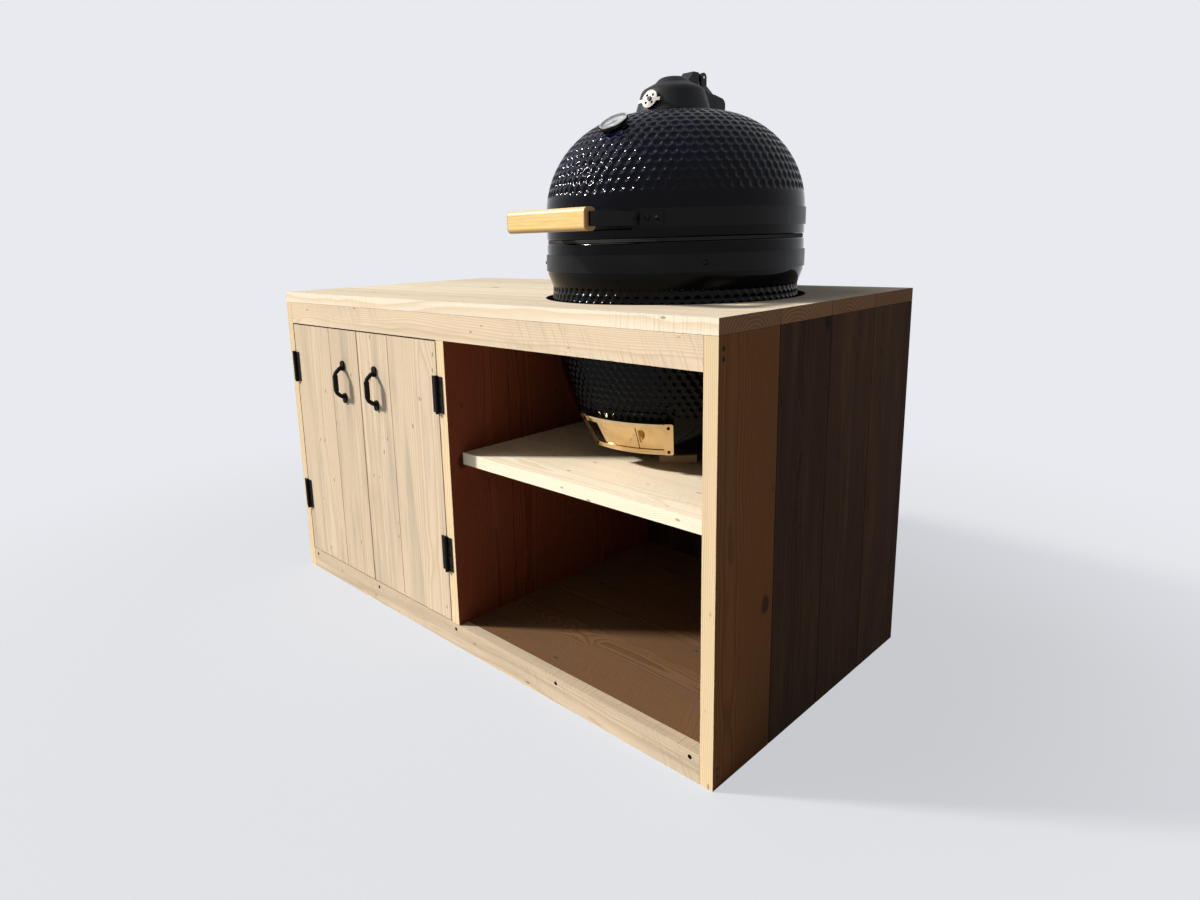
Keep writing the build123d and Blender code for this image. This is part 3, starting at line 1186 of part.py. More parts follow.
# Draft frame on the bowl, leaning out with it: rails, a track between their lips and an end post on each side
FRAME_SPAN = (DRAFT_TURN - DRAFT_HALF, DRAFT_TURN + DRAFT_HALF)
RAIL_SPAN = (FRAME_SPAN[0] + DRAFT_RAIL_INSET, FRAME_SPAN[1] - DRAFT_RAIL_INSET)
TRACK_HALF = DRAFT_DOOR_THICK / 2 + DRAFT_TRACK_GAP
LIP_OUTER_R = DRAFT_R + TRACK_HALF + DRAFT_LIP_THICK
LIP_INNER_R = DRAFT_R - TRACK_HALF - DRAFT_LIP_THICK
POST_R = LIP_OUTER_R + DRAFT_LIP_THICK
POSTS = ((FRAME_SPAN[0], FRAME_SPAN[0] + DRAFT_POST), (FRAME_SPAN[1] - DRAFT_POST, FRAME_SPAN[1]))
POST_LOW = DRAFT_LOW - DRAFT_RAIL
POST_HIGH = DRAFT_HIGH + DRAFT_RAIL + DRAFT_POST_RISE
POST_WIDTH = POST_R * radians(DRAFT_POST)
LEAN_ANGLE = atan2(DRAFT_LEAN, 1)
DRAFT_SCREW_LENGTH = 2 * DRAFT_LIP_THICK * cos(LEAN_ANGLE)


def draft_r(radius, z):
    """A radius given at the frame's middle height, followed along its lean to another height."""
    return radius + (z - DRAFT_MIDDLE) * DRAFT_LEAN


def draft_sector(inner_r, outer_r, start, end, low, high, mode=Mode.ADD):
    """Part of a leaning ring round the kamado's axis; angles run from the front towards the right."""
    turn = radians(start)
    section = Plane(
        origin=(KAMADO_X, KAMADO_Y, 0), x_dir=(sin(turn), -cos(turn), 0), z_dir=(-cos(turn), -sin(turn), 0)
    )
    with BuildSketch(section) as outline:
        with BuildLine():
            Polyline(
                (draft_r(inner_r, low), low),
                (draft_r(outer_r, low), low),
                (draft_r(outer_r, high), high),
                (draft_r(inner_r, high), high),
                close=True,
            )
        make_face()
    revolve(outline.sketch, axis=KAMADO_AXIS, revolution_arc=end - start, mode=mode)


def draft_outward(turn):
    """The way the frame's face looks: outwards and, for its lean, a little down."""
    flat = cos(LEAN_ANGLE)
    return sin(radians(turn)) * flat, -cos(radians(turn)) * flat, -sin(LEAN_ANGLE)


def draft_across(turn):
    """Level along the frame's face, towards the right."""
    return cos(radians(turn)), sin(radians(turn)), 0


def draft_place(radius, turn, z):
    """A place on the leaning frame."""
    x, y = kamado_point(draft_r(radius, z), turn)
    return x, y, z


DRAFT_SCREW_SEATS = [
    facing(*draft_place(POST_R, (start + end) / 2, z), draft_outward((start + end) / 2))
    for start, end in POSTS
    for z in (DRAFT_LOW + DRAFT_LIP / 2, DRAFT_HIGH - DRAFT_LIP / 2)
]
with BuildPart() as draft_frame:
    for low in (DRAFT_LOW - DRAFT_RAIL, DRAFT_HIGH):
        sector(BOWL_FOOT_R, draft_r(LIP_OUTER_R, low), *RAIL_SPAN, low, low + DRAFT_RAIL)
    for low in (DRAFT_LOW, DRAFT_HIGH - DRAFT_LIP):
        draft_sector(LIP_INNER_R, LIP_INNER_R + DRAFT_LIP_THICK, *RAIL_SPAN, low, low + DRAFT_LIP)
        draft_sector(LIP_OUTER_R - DRAFT_LIP_THICK, LIP_OUTER_R, *RAIL_SPAN, low, low + DRAFT_LIP)
    for start, end in POSTS:
        turn = (start + end) / 2
        post_origin = draft_place(POST_R, turn, (POST_LOW + POST_HIGH) / 2)
        with BuildSketch(Plane(origin=post_origin, x_dir=draft_across(turn), z_dir=draft_outward(turn))):
            RectangleRounded(POST_WIDTH, (POST_HIGH - POST_LOW) / cos(LEAN_ANGLE), DRAFT_POST_ROUND)
        extrude(amount=-DRAFT_POST_THICK)
    bowl_turned(-DRAFT_FRAME_FIT, BOWL_FOOT_R + DRAFT_FRAME_FIT, BOWL_Z, RIM_R, Mode.SUBTRACT)
    for seat in DRAFT_SCREW_SEATS:
        with Locations(seat):
            Cylinder(DRAFT_SCREW_R + SCREW_FIT, DRAFT_SCREW_LENGTH, align=FLAT_TOP, mode=Mode.SUBTRACT)
save(draft_frame, "draft_frame")

with BuildPart() as draft_screws:
    for seat in DRAFT_SCREW_SEATS:
        with Locations(seat):
            Cylinder(DRAFT_SCREW_R, DRAFT_SCREW_LENGTH, align=FLAT_TOP)
            Cylinder(DRAFT_SCREW_HEAD_R, DRAFT_SCREW_HEAD, align=FLAT_BASE)
save(draft_screws, "draft_screws")

# The two doors meet right of the frame's middle, as they stand in the photograph
DOOR_INNER_R = DRAFT_R - DRAFT_DOOR_THICK / 2
DOOR_OUTER_R = DRAFT_R + DRAFT_DOOR_THICK / 2
for name, side, width in (("left", -1, LEFT_DRAFT_DOOR_WIDTH), ("right", 1, RIGHT_DRAFT_DOOR_WIDTH)):
    near_turn = DRAFT_SEAM_TURN + side * DRAFT_MEETING
    far_turn = near_turn + side * width
    turns = sorted((near_turn, far_turn))
    tab_turn = DRAFT_SEAM_TURN + side * TAB_TURN
    tab_origin = draft_place(DOOR_OUTER_R, tab_turn, DRAFT_MIDDLE + side * TAB_OFFSET)
    outward, across = Vector(draft_outward(tab_turn)), Vector(draft_across(tab_turn))
    splay = radians(side * TAB_SPLAY)
    leaf_out = outward * cos(splay) + across * sin(splay)
    leaf_face = across * cos(splay) - outward * sin(splay)
    with BuildPart() as draft_door:
        # The finger tab is a leaf bent out of the door, away from the seam
        with BuildSketch(Plane(origin=tab_origin, x_dir=leaf_out, z_dir=leaf_face)):
            Ellipse(TAB_REACH, TAB_HEIGHT / 2)
        extrude(amount=TAB_THICK / 2, both=True)
        draft_sector(BOWL_FOOT_R, DOOR_INNER_R, *FRAME_SPAN, DRAFT_LOW, DRAFT_HIGH, Mode.SUBTRACT)
        low, high = DRAFT_LOW + DRAFT_DOOR_GAP, DRAFT_HIGH - DRAFT_DOOR_GAP
        draft_sector(DOOR_INNER_R, DOOR_OUTER_R, *turns, low, high)
    save(draft_door, f"draft_door_{name}")
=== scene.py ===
import math
import random

import bmesh
import bpy
import numpy as np
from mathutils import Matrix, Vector


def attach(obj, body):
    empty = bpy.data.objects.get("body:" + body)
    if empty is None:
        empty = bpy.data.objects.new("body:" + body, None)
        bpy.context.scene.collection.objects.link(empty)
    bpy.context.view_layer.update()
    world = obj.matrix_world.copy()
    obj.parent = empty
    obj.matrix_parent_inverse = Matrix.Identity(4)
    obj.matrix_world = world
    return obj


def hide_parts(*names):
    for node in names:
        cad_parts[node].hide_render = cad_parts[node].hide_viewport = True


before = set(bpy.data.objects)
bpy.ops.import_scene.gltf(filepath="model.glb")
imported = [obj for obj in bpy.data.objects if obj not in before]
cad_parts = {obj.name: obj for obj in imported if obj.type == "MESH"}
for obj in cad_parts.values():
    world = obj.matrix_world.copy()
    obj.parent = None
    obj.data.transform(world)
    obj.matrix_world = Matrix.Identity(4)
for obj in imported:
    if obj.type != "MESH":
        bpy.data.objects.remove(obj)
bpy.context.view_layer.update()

# An outdoor kitchen of scaffold boards with a kamado sunk through its worktop.
# Metres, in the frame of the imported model: X to the right along the front, the front faces -Y, Z is up.

# Cabinet
LEFT, RIGHT = -0.780, 0.780
FRONT, BACK = -0.390, 0.390
TOP = 0.880
BOARD_THICK = 0.030
BOARD_WIDTH = 0.195
# A panel's last board may be this much wider than a whole board
WIDER_LAST = 0.025
SEAM = 0.0020
WORKTOP_SEAM = 0.0006
RAIL_HEIGHT = 0.063
TOP_UNDER = TOP - BOARD_THICK
INNER_LEFT, INNER_RIGHT = LEFT + BOARD_THICK, RIGHT - BOARD_THICK
INNER_BACK = BACK - BOARD_THICK
RAIL_BACK = FRONT + BOARD_THICK
PARTITION_HALF = BOARD_THICK / 2
SHELF_FRONT, SHELF_TOP = -0.350, 0.508
DOOR_LOW, DOOR_HIGH = 0.066, 0.784
DOOR_BACK = -0.362
DOOR_SPANS = {
    "left": ((-0.747, -0.536), (-0.534, -0.385)),
    "right": ((-0.380, -0.231), (-0.229, -0.018)),
}
# Boards stay this far inside their solids; a butted seam takes that up, so that the boards touch
SKIN = 0.0003
BUTTED = -2 * SKIN
ARRIS = 0.0020

# Kamado
KAMADO_X, KAMADO_Y = 0.3825, 0.006
CUTOUT_R = 0.295
RIM_R, RIM_Z = 0.288, 1.003
RIM_WALL = 0.030
LID_Z = 1.0094
DOME_WALL = 0.024
DOME_ARC_R, DOME_ARC_X, DOME_ARC_Z = 0.211, 0.077, 1.066
VENT_HOLE_R = 0.062
BOWL_FOOT_R, BOWL_Z, BOWL_FLOOR_Z = 0.140, 0.528, 0.556
BOWL_WALL = 0.026
BOWL_HEEL, BOWL_BELLY, BOWL_NECK = (0.222, 0.604), (0.262, 0.720), (0.277, 0.905)
BELT_LOW_Z = 0.935
RIM_ROUND = 0.0050
PORT_TURNS = (-3, 27)
PORT_LOW, PORT_HIGH = 0.579, 0.616

# Thermometer, square to the dome's front
DIAL_LEAN = math.radians(56)
DIAL_Y = KAMADO_Y - DOME_ARC_X - DOME_ARC_R * math.cos(DIAL_LEAN)
DIAL_Z = DOME_ARC_Z + DOME_ARC_R * math.sin(DIAL_LEAN)
BEZEL_RISE = 0.0082

# Dimples of the glazed ceramic
DOME_DIMPLE_R, DOME_DIMPLE_DEPTH = 0.0096, 0.0031
DOME_FIRST_ROW, DOME_ROW_STEP, DOME_ROWS = 0.0440, 0.0181, 16
DOME_DIMPLE_PITCH = 0.0207
BOWL_DIMPLE_R, BOWL_DIMPLE_DEPTH = 0.0077, 0.0027
BOWL_FIRST_ROW_Z, BOWL_ROW_STEP, BOWL_ROWS = 0.902, 0.0143, 19
BOWL_DIMPLES_ROUND = 86
FACING_CAMERA = math.radians(-57)

# Fineness of the dome's and the bowl's meshes: points in a ring, and the gap between rings of dimpled surface
DOME_COLUMNS, BOWL_COLUMNS, INSIDE_COLUMNS = 960, 720, 120
DOME_RING_GAP, BOWL_RING_GAP = 0.00185, 0.0019
HARD_EDGE = math.radians(50)

CHANCE = random.Random(7)


def paint(code):
    """A colour written as six hex digits, as the linear values that a socket takes."""
    values = [int(code[place : place + 2], 16) / 255 for place in (0, 2, 4)]
    linear = [v / 12.92 if v <= 0.04045 else ((v + 0.055) / 1.055) ** 2.4 for v in values]
    return (*linear, 1.0)


class Wiring:
    """Adds nodes to one node tree and joins them; plain numbers go straight on the sockets."""

    def __init__(self, tree):
        self.tree = tree

    def put(self, socket, value):
        if isinstance(value, bpy.types.NodeSocket):
            self.tree.links.new(value, socket)
        else:
            socket.default_value = value

    def node(self, kind, **settings):
        made = self.tree.nodes.new(kind)
        for key, value in settings.items():
            setattr(made, key, value)
        return made

    def feed(self, node, keys, values):
        for key, value in zip(keys, values):
            self.put(node.inputs[key], value)

    def math(self, operation, *values):
        made = self.node("ShaderNodeMath", operation=operation)
        self.feed(made, range(len(values)), values)
        return made.outputs[0]

    def plus(self, first, second):
        return self.math("ADD", first, second)

    def less(self, first, second):
        return self.math("SUBTRACT", first, second)

    def times(self, first, second):
        return self.math("MULTIPLY", first, second)

    def most(self, first, second):
        return self.math("MAXIMUM", first, second)

    def vector(self, operation, first, second):
        made = self.node("ShaderNodeVectorMath", operation=operation)
        self.feed(made, (0, 1), (first, second))
        return made.outputs["Vector"]

    def scaled(self, vector, by):
        return self.vector("MULTIPLY", vector, by)

    def split(self, vector):
        made = self.node("ShaderNodeSeparateXYZ")
        self.put(made.inputs[0], vector)
        return made.outputs

    def join(self, x, y, z):
        made = self.node("ShaderNodeCombineXYZ")
        self.feed(made, "XYZ", (x, y, z))
        return made.outputs[0]

    def noise(self, vector, scale=1.0, detail=2.0, roughness=0.5):
        made = self.node("ShaderNodeTexNoise")
        self.feed(made, ("Vector", "Scale", "Detail", "Roughness"), (vector, scale, detail, roughness))
        return made.outputs["Fac"]

    def cells(self, vector):
        made = self.node("ShaderNodeTexVoronoi")
        self.feed(made, ("Vector", "Scale"), (vector, 1.0))
        return made.outputs["Distance"], made.outputs["Color"]

    def fade(self, value, low, high, to_low=0.0, to_high=1.0):
        made = self.node("ShaderNodeMapRange", interpolation_type="SMOOTHSTEP")
        keys = ("Value", "From Min", "From Max", "To Min", "To Max")
        self.feed(made, keys, (value, low, high, to_low, to_high))
        return made.outputs["Result"]

    def mix(self, factor, first, second):
        made = self.node("ShaderNodeMix", data_type="RGBA")
        # The colour sockets of this node are its seventh and eighth inputs and its third output
        self.feed(made, (0, 6, 7), (factor, first, second))
        return made.outputs[2]

    def bump(self, height, strength, distance):
        made = self.node("ShaderNodeBump")
        self.feed(made, ("Height", "Strength", "Distance"), (height, strength, distance))
        return made.outputs["Normal"]

    def group(self, tree, **inputs):
        made = self.node("ShaderNodeGroup", node_tree=tree)
        self.feed(made, inputs.keys(), inputs.values())
        return made.outputs

    def attribute(self, name):
        return self.node("ShaderNodeAttribute", attribute_name=name).outputs

    def object_place(self):
        return self.node("ShaderNodeTexCoord").outputs["Object"]


def new_group(name, inputs, outputs):
    """An empty shader group with named sockets; returns it with its wiring, inputs and outputs."""
    tree = bpy.data.node_groups.new(name, "ShaderNodeTree")
    for socket, kind in inputs:
        tree.interface.new_socket(socket, in_out="INPUT", socket_type=kind)
    for socket, kind in outputs:
        tree.interface.new_socket(socket, in_out="OUTPUT", socket_type=kind)
    wires = Wiring(tree)
    given = wires.node("NodeGroupInput").outputs
    result = wires.node("NodeGroupOutput").inputs
    return tree, wires, given, result


FLOAT, VECTOR = "NodeSocketFloat", "NodeSocketVector"

# How often the marks of a board come in a metre along it, across it and through it
KNOT_NET = (5.2, 7.4, 0.9)
SLOW_WANDER = (1.1, 5.0, 5.0)
QUICK_WANDER = (5.0, 26.0, 26.0)
FIBRES = (11.0, 420.0, 420.0)
SAW_CUTS = (210.0, 12.0, 12.0)
SAW_PATCHES = (3.0, 9.0, 9.0)
SPECK_NET = (26.0, 60.0, 60.0)
BLOTCHES = (2.0, 24.0, 24.0)
# How far one board's marks lie from another's, in metres for the whole range of chance
BOARD_SHIFT = (41.3, 17.7, 29.1)
# Where the heart of the log lies beside and below a board, in metres
HEART_SIDE = 0.12
HEART_NEAR, HEART_RANGE = 0.028, 0.07
SAW_SLANT = 0.45
# Metal and glaze: fine streaks in a metre
STREAKS = (30.0, 30.0, 900.0)


def make_sawn_timber():
    """Growth rings, fibres, knots, saw marks and blotches of one sawn board.

    Grain is the place in the board: along it, across it and through it. Chance differs from board to board.
    """
    tree, w, given, result = new_group(
        "sawn_timber",
        [("Grain", VECTOR), ("Chance", FLOAT), ("Ring_Gap", FLOAT), ("Knots", FLOAT)],
        [(mark, FLOAT) for mark in ("Rings", "Fibre", "Knot", "Saw", "Blotch", "Speck")],
    )
    grain, chance = given["Grain"], given["Chance"]
    shift = w.scaled(w.join(chance, chance, chance), BOARD_SHIFT)
    place = w.vector("ADD", grain, shift)
    _, across, through = w.split(grain)
    # Knots: a few of the cells of a net, round, and running through the board
    knot_place = w.scaled(place, KNOT_NET)
    gap, cell = w.cells(knot_place)
    picked = w.fade(w.split(cell)[0], given["Knots"], w.plus(given["Knots"], 0.02), 1.0, 0.0)
    wobble = w.times(w.noise(place, 90.0, 3.0), 0.05)
    near = w.plus(gap, wobble)
    knot = w.times(w.fade(near, 0.09, 0.16, 1.0, 0.0), picked)
    swirl = w.times(w.fade(near, 0.05, 0.62, 1.0, 0.0), picked)
    # Rings round a heart below the board, wandering along it and parting round the knots
    side_chance = w.math("FRACT", w.times(chance, 7.31))
    deep_chance = w.math("FRACT", w.times(chance, 3.77))
    heart_side = w.times(w.less(side_chance, 0.5), HEART_SIDE)
    heart_deep = w.plus(w.times(deep_chance, HEART_RANGE), HEART_NEAR)
    slow = w.noise(w.scaled(place, SLOW_WANDER), 1.0, 2.0)
    quick = w.noise(w.scaled(place, QUICK_WANDER), 1.0, 3.0)
    side = w.plus(across, w.times(w.less(slow, 0.5), 0.07))
    side = w.plus(side, heart_side)
    deep = w.plus(through, heart_deep)
    reach = w.math("SQRT", w.plus(w.times(side, side), w.times(deep, deep)))
    reach = w.plus(reach, w.times(quick, 0.006))
    reach = w.plus(reach, w.times(swirl, 0.014))
    ring = w.math("FRACT", w.math("DIVIDE", reach, given["Ring_Gap"]))
    late = w.times(w.fade(ring, 0.25, 0.88), w.fade(ring, 0.9, 1.0, 1.0, 0.0))
    w.put(result["Rings"], late)
    w.put(result["Knot"], knot)
    w.put(result["Fibre"], w.noise(w.scaled(place, FIBRES), 1.0, 3.0, 0.6))
    place_along, place_across, place_through = w.split(place)
    leaning = w.plus(place_along, w.times(place_across, SAW_SLANT))
    slant = w.join(leaning, place_across, place_through)
    cuts = w.fade(w.noise(w.scaled(slant, SAW_CUTS), 1.0, 3.0, 0.6), 0.46, 0.70)
    patch = w.fade(w.noise(w.scaled(place, SAW_PATCHES), 1.0, 2.0), 0.38, 0.60)
    w.put(result["Saw"], w.times(cuts, patch))
    speck_gap, speck_cell = w.cells(w.scaled(place, SPECK_NET))
    rare = w.fade(w.split(speck_cell)[0], 0.09, 0.10, 1.0, 0.0)
    w.put(result["Speck"], w.times(w.fade(speck_gap, 0.10, 0.22, 1.0, 0.0), rare))
    w.put(result["Blotch"], w.noise(w.scaled(place, BLOTCHES), 1.0, 4.0, 0.6))
    return tree


def make_handled_surface():
    """Smudges, fine grain and thin scratches that a handled metal or glazed surface carries."""
    tree, w, given, result = new_group(
        "handled_surface",
        [("Place", VECTOR), ("Grain_Scale", FLOAT)],
        [("Smudge", FLOAT), ("Grain", FLOAT), ("Scratch", FLOAT)],
    )
    place = given["Place"]
    w.put(result["Smudge"], w.noise(place, 14.0, 4.0, 0.6))
    w.put(result["Grain"], w.noise(place, given["Grain_Scale"], 3.0, 0.6))
    streak = w.noise(w.scaled(place, STREAKS), 1.0, 2.0)
    w.put(result["Scratch"], w.fade(streak, 0.60, 0.72))
    return tree


SAWN_TIMBER = make_sawn_timber()
HANDLED_SURFACE = make_handled_surface()


def new_finish(name):
    """A material with a Principled shader; returns it with its wiring and the shader's sockets."""
    finish = bpy.data.materials.new(name)
    finish.use_nodes = True
    shader = finish.node_tree.nodes["Principled BSDF"]
    return finish, Wiring(finish.node_tree), shader.inputs


def timber(
    name, early, late, weathered, knot, ring_gap=0.0034, knots=0.14, saw=0.5, grey=0.35, spread=0.16, axes=""
):
    """A timber finish: colours of early, late and weathered wood and of knots, and how much of each mark.

    Spread is how far boards differ. Axes names the grain, across and through axes of a carried-over piece.
    """
    finish, w, shader = new_finish(name)
    if axes:
        xyz = dict(zip("xyz", w.split(w.object_place())))
        grain = w.join(*(xyz[axis] for axis in axes))
        step = w.math("FLOOR", w.times(xyz[axes[1]], 6.0))
        chance = w.math("FRACT", w.times(step, 0.377))
    else:
        grain = w.attribute("board_grain")["Vector"]
        chance = w.attribute("board_chance")["Fac"]
    marks = w.group(SAWN_TIMBER, Grain=grain, Chance=chance, Ring_Gap=ring_gap, Knots=knots)
    colour = w.mix(marks["Rings"], paint(early), paint(late))
    streaks = w.fade(marks["Fibre"], 0.35, 0.7)
    colour = w.mix(w.times(streaks, 0.25), colour, paint(late))
    greying = w.times(w.fade(marks["Blotch"], 0.46, 0.72), grey)
    colour = w.mix(greying, colour, paint(weathered))
    colour = w.mix(w.times(marks["Saw"], saw), colour, paint(weathered))
    spots = w.most(marks["Knot"], w.times(marks["Speck"], 0.7))
    colour = w.mix(w.times(spots, 0.85), colour, paint(knot))
    shade = w.plus(w.times(chance, spread), 0.98 - spread / 2)
    if not axes:
        end = w.attribute("board_end")["Fac"]
        colour = w.mix(w.times(end, 0.92), colour, paint(knot))
        rays = w.times(marks["Rings"], 0.34)
        shade = w.times(shade, w.less(1.0, w.times(end, rays)))
        # Arris faces are darkened: partly dirt, partly painted shade in the grooves of the seams
        arris = w.attribute("board_arris")["Fac"]
        shade = w.times(shade, w.less(1.0, w.times(arris, 0.3)))
    colour = w.scaled(colour, w.join(shade, shade, shade))
    w.put(shader["Base Color"], colour)
    w.put(shader["Roughness"], w.fade(marks["Fibre"], 0.2, 0.8, 0.70, 0.9))
    w.put(shader["Specular IOR Level"], 0.08)
    relief = w.plus(w.times(marks["Fibre"], 0.5), w.times(marks["Rings"], 0.3))
    relief = w.plus(relief, w.times(marks["Saw"], saw * 2.0))
    w.put(shader["Normal"], w.bump(relief, 0.55, 0.0008))
    return finish


# Early wood, late wood, weathered wood and knots, and what differs from a plain board
TIMBERS = {
    "worktop_timber": (
        "f6e9d3", "e9d5b6", "d6c6ac", "83552f", {"ring_gap": 0.008, "saw": 0.3, "spread": 0.3}
    ),
    "rail_timber": ("e6d2b6", "d9c0a0", "bdab91", "7d5b3a", {"knots": 0.08}),
    # Bottom rail: a darker, greyer copy of the rail timber, painted shade
    "plinth_painted_shade_timber": ("cfbda3", "bea98c", "a19482", "5f4630", {"saw": 0.4, "knots": 0.08, "grey": 0.5}),
    "door_timber": ("dac7ae", "cbb495", "ada08d", "5c432d", {"ring_gap": 0.006, "saw": 0.1, "grey": 0.65}),
    "edge_timber": ("ecd5ae", "dfc297", "cdb693", "8a653f", {"saw": 0.1, "grey": 0.25, "knots": 0.06}),
    # Honey: painted shade on the faces of a side's front board, whose own wood is as pale as its front edge
    "honey_painted_shade_timber": ("80532f", "6a4425", "664a30", "33200f", {"saw": 0.12}),
    # Umber: boards darker than the honey one, darkened further by painted shade
    "umber_and_painted_shade_timber": (
        "442e22", "36241a", "553f28", "160f0c", {"saw": 0.15, "grey": 0.7, "knots": 0.2, "spread": 0.5}
    ),
    # Inner: painted shade in a reddish brown on the partition's faces
    "inner_timber": ("88472d", "6f3721", "754d3a", "341710", {"saw": 0.2}),
    # Bottom boards: darker than their own pale honey wood, painted shade
    "floor_painted_shade_timber": ("7c5c3f", "644731", "635242", "33200f", {"saw": 0.3, "grey": 0.5}),
    "shelf_timber": ("fbf0da", "efddbf", "dfcfb2", "855f3b", {"saw": 0.2, "knots": 0.34}),
    "batten_x_timber": ("cbb08a", "b4966d", "a4937a", "65482c", {"saw": 0.3, "axes": "xzy"}),
    # Shelf cleats: painted shade in the same reddish brown as the partition's faces
    "cleat_painted_shade_timber": ("7a4027", "633019", "6a4633", "341710", {"saw": 0.2, "axes": "yzx"}),
    "batten_y_timber": ("cbb08a", "b4966d", "a4937a", "65482c", {"saw": 0.3, "axes": "yzx"}),
}
FINISHES = {name: timber(name, *colours, **marks) for name, (*colours, marks) in TIMBERS.items()}


def black_finish(name, dark, pale, rough_low, rough_high, grain_scale, relief, specular):
    """Painted, cast or matt black metal with smudges, grain and worn streaks."""
    finish, w, shader = new_finish(name)
    marks = w.group(HANDLED_SURFACE, Place=w.object_place(), Grain_Scale=grain_scale)
    colour = w.mix(w.fade(marks["Smudge"], 0.3, 0.75), paint(dark), paint(pale))
    colour = w.mix(w.times(marks["Scratch"], 0.05), colour, paint("6a6660"))
    w.put(shader["Base Color"], colour)
    w.put(shader["Roughness"], w.fade(marks["Smudge"], 0.25, 0.75, rough_low, rough_high))
    w.put(shader["Specular IOR Level"], specular)
    w.put(shader["Normal"], w.bump(marks["Grain"], 0.5, relief))
    return finish


def bare_metal(name, pale, dull, rough_low, rough_high):
    """Bare steel with brushed streaks and finger marks."""
    finish, w, shader = new_finish(name)
    marks = w.group(HANDLED_SURFACE, Place=w.object_place(), Grain_Scale=500.0)
    colour = w.mix(w.fade(marks["Smudge"], 0.35, 0.75), paint(pale), paint(dull))
    w.put(shader["Base Color"], w.mix(w.times(marks["Scratch"], 0.25), colour, paint(dull)))
    w.put(shader["Metallic"], 1.0)
    w.put(shader["Roughness"], w.fade(marks["Smudge"], 0.3, 0.75, rough_low, rough_high))
    w.put(shader["Normal"], w.bump(marks["Grain"], 0.2, 0.00008))
    return finish


# Heights between which the glaze goes from black to blue, a painted reflection of a blue sky
SKY_REFLECTION_HEIGHTS = (1.04, 1.18)


def glazed_ceramic(name):
    """Black glaze with a faint orange peel, going blue towards the top as a painted reflection of a blue sky.
    """
    finish, w, shader = new_finish(name)
    marks = w.group(HANDLED_SURFACE, Place=w.object_place(), Grain_Scale=160.0)
    smudge = w.fade(marks["Smudge"], 0.3, 0.7)
    belts = w.mix(smudge, paint("030304"), paint("060609"))
    sky_reflection_blue = w.mix(smudge, paint("04040e"), paint("070920"))
    height = w.split(w.object_place())[2]
    w.put(shader["Base Color"], w.mix(w.fade(height, *SKY_REFLECTION_HEIGHTS), belts, sky_reflection_blue))
    w.put(shader["Roughness"], w.fade(marks["Smudge"], 0.3, 0.8, 0.05, 0.12))
    w.put(shader["Specular IOR Level"], 0.10)
    w.put(shader["Normal"], w.bump(marks["Grain"], 0.2, 0.0002))
    return finish


def speckled(name, body, speck, dark, rough=0.9, scale=420.0, relief=0.0006):
    """A dry, speckled body: fired clay or felt."""
    finish, w, shader = new_finish(name)
    place = w.object_place()
    marks = w.group(HANDLED_SURFACE, Place=place, Grain_Scale=scale)
    colour = w.mix(w.fade(marks["Grain"], 0.42, 0.7), paint(body), paint(speck))
    w.put(shader["Base Color"], w.mix(w.fade(marks["Smudge"], 0.5, 0.85), colour, paint(dark)))
    w.put(shader["Roughness"], w.fade(marks["Grain"], 0.2, 0.8, rough - 0.1, rough))
    w.put(shader["Normal"], w.bump(marks["Grain"], 0.6, relief))
    return finish


# Bamboo grip: strips and fibres in a metre, and where it browns, from its middle outwards and in height; at
# the ends partly end grain and partly painted shade, underneath painted shade
BAMBOO_STRIPS = 150.0
BAMBOO_FIBRES = (14.0, 500.0, 500.0)
GRIP_ENDS = (0.1045, 0.109)
GRIP_SHADED_UNDERSIDE = (1.027, 1.035)


def bamboo_grip(name):
    """Laid-up bamboo: pale strips with thin glue lines, browner at the two ends, partly end grain and partly
    painted shade, and with painted shade low down.
    """
    finish, w, shader = new_finish(name)
    along, _, up = w.split(w.object_place())
    strips = w.times(up, BAMBOO_STRIPS)
    strip = w.math("FRACT", strips)
    glue = w.most(w.fade(strip, 0.0, 0.06, 1.0, 0.0), w.fade(strip, 0.94, 1.0))
    fibre = w.noise(w.scaled(w.object_place(), BAMBOO_FIBRES), 1.0, 3.0)
    tone = w.noise(w.join(w.times(along, 2.0), 0.0, w.math("FLOOR", strips)), 1.7, 0.0)
    colour = w.mix(w.fade(fibre, 0.35, 0.7), paint("ecd091"), paint("dcb566"))
    colour = w.mix(w.times(tone, 0.4), colour, paint("e8c168"))
    colour = w.mix(w.times(glue, 0.35), colour, paint("8c5a26"))
    # Browner ends: partly end grain, partly painted shade; browner underside: painted shade
    ends = w.fade(w.math("ABSOLUTE", w.less(along, KAMADO_X)), *GRIP_ENDS)
    low = w.fade(up, *GRIP_SHADED_UNDERSIDE, 1.0, 0.0)
    brown = w.most(w.times(ends, 0.85), w.times(low, 0.7))
    w.put(shader["Base Color"], w.mix(brown, colour, paint("8a4f22")))
    w.put(shader["Roughness"], w.fade(fibre, 0.2, 0.8, 0.32, 0.48))
    w.put(shader["Normal"], w.bump(w.plus(fibre, w.times(glue, -0.6)), 0.3, 0.0003))
    return finish


def dial_print(name, ground, shade, rough):
    """Printed or painted dial surface with slight ageing."""
    finish, w, shader = new_finish(name)
    marks = w.group(HANDLED_SURFACE, Place=w.object_place(), Grain_Scale=900.0)
    w.put(shader["Base Color"], w.mix(w.fade(marks["Smudge"], 0.35, 0.7), paint(ground), paint(shade)))
    w.put(shader["Roughness"], w.fade(marks["Grain"], 0.2, 0.8, rough, rough + 0.15))
    return finish


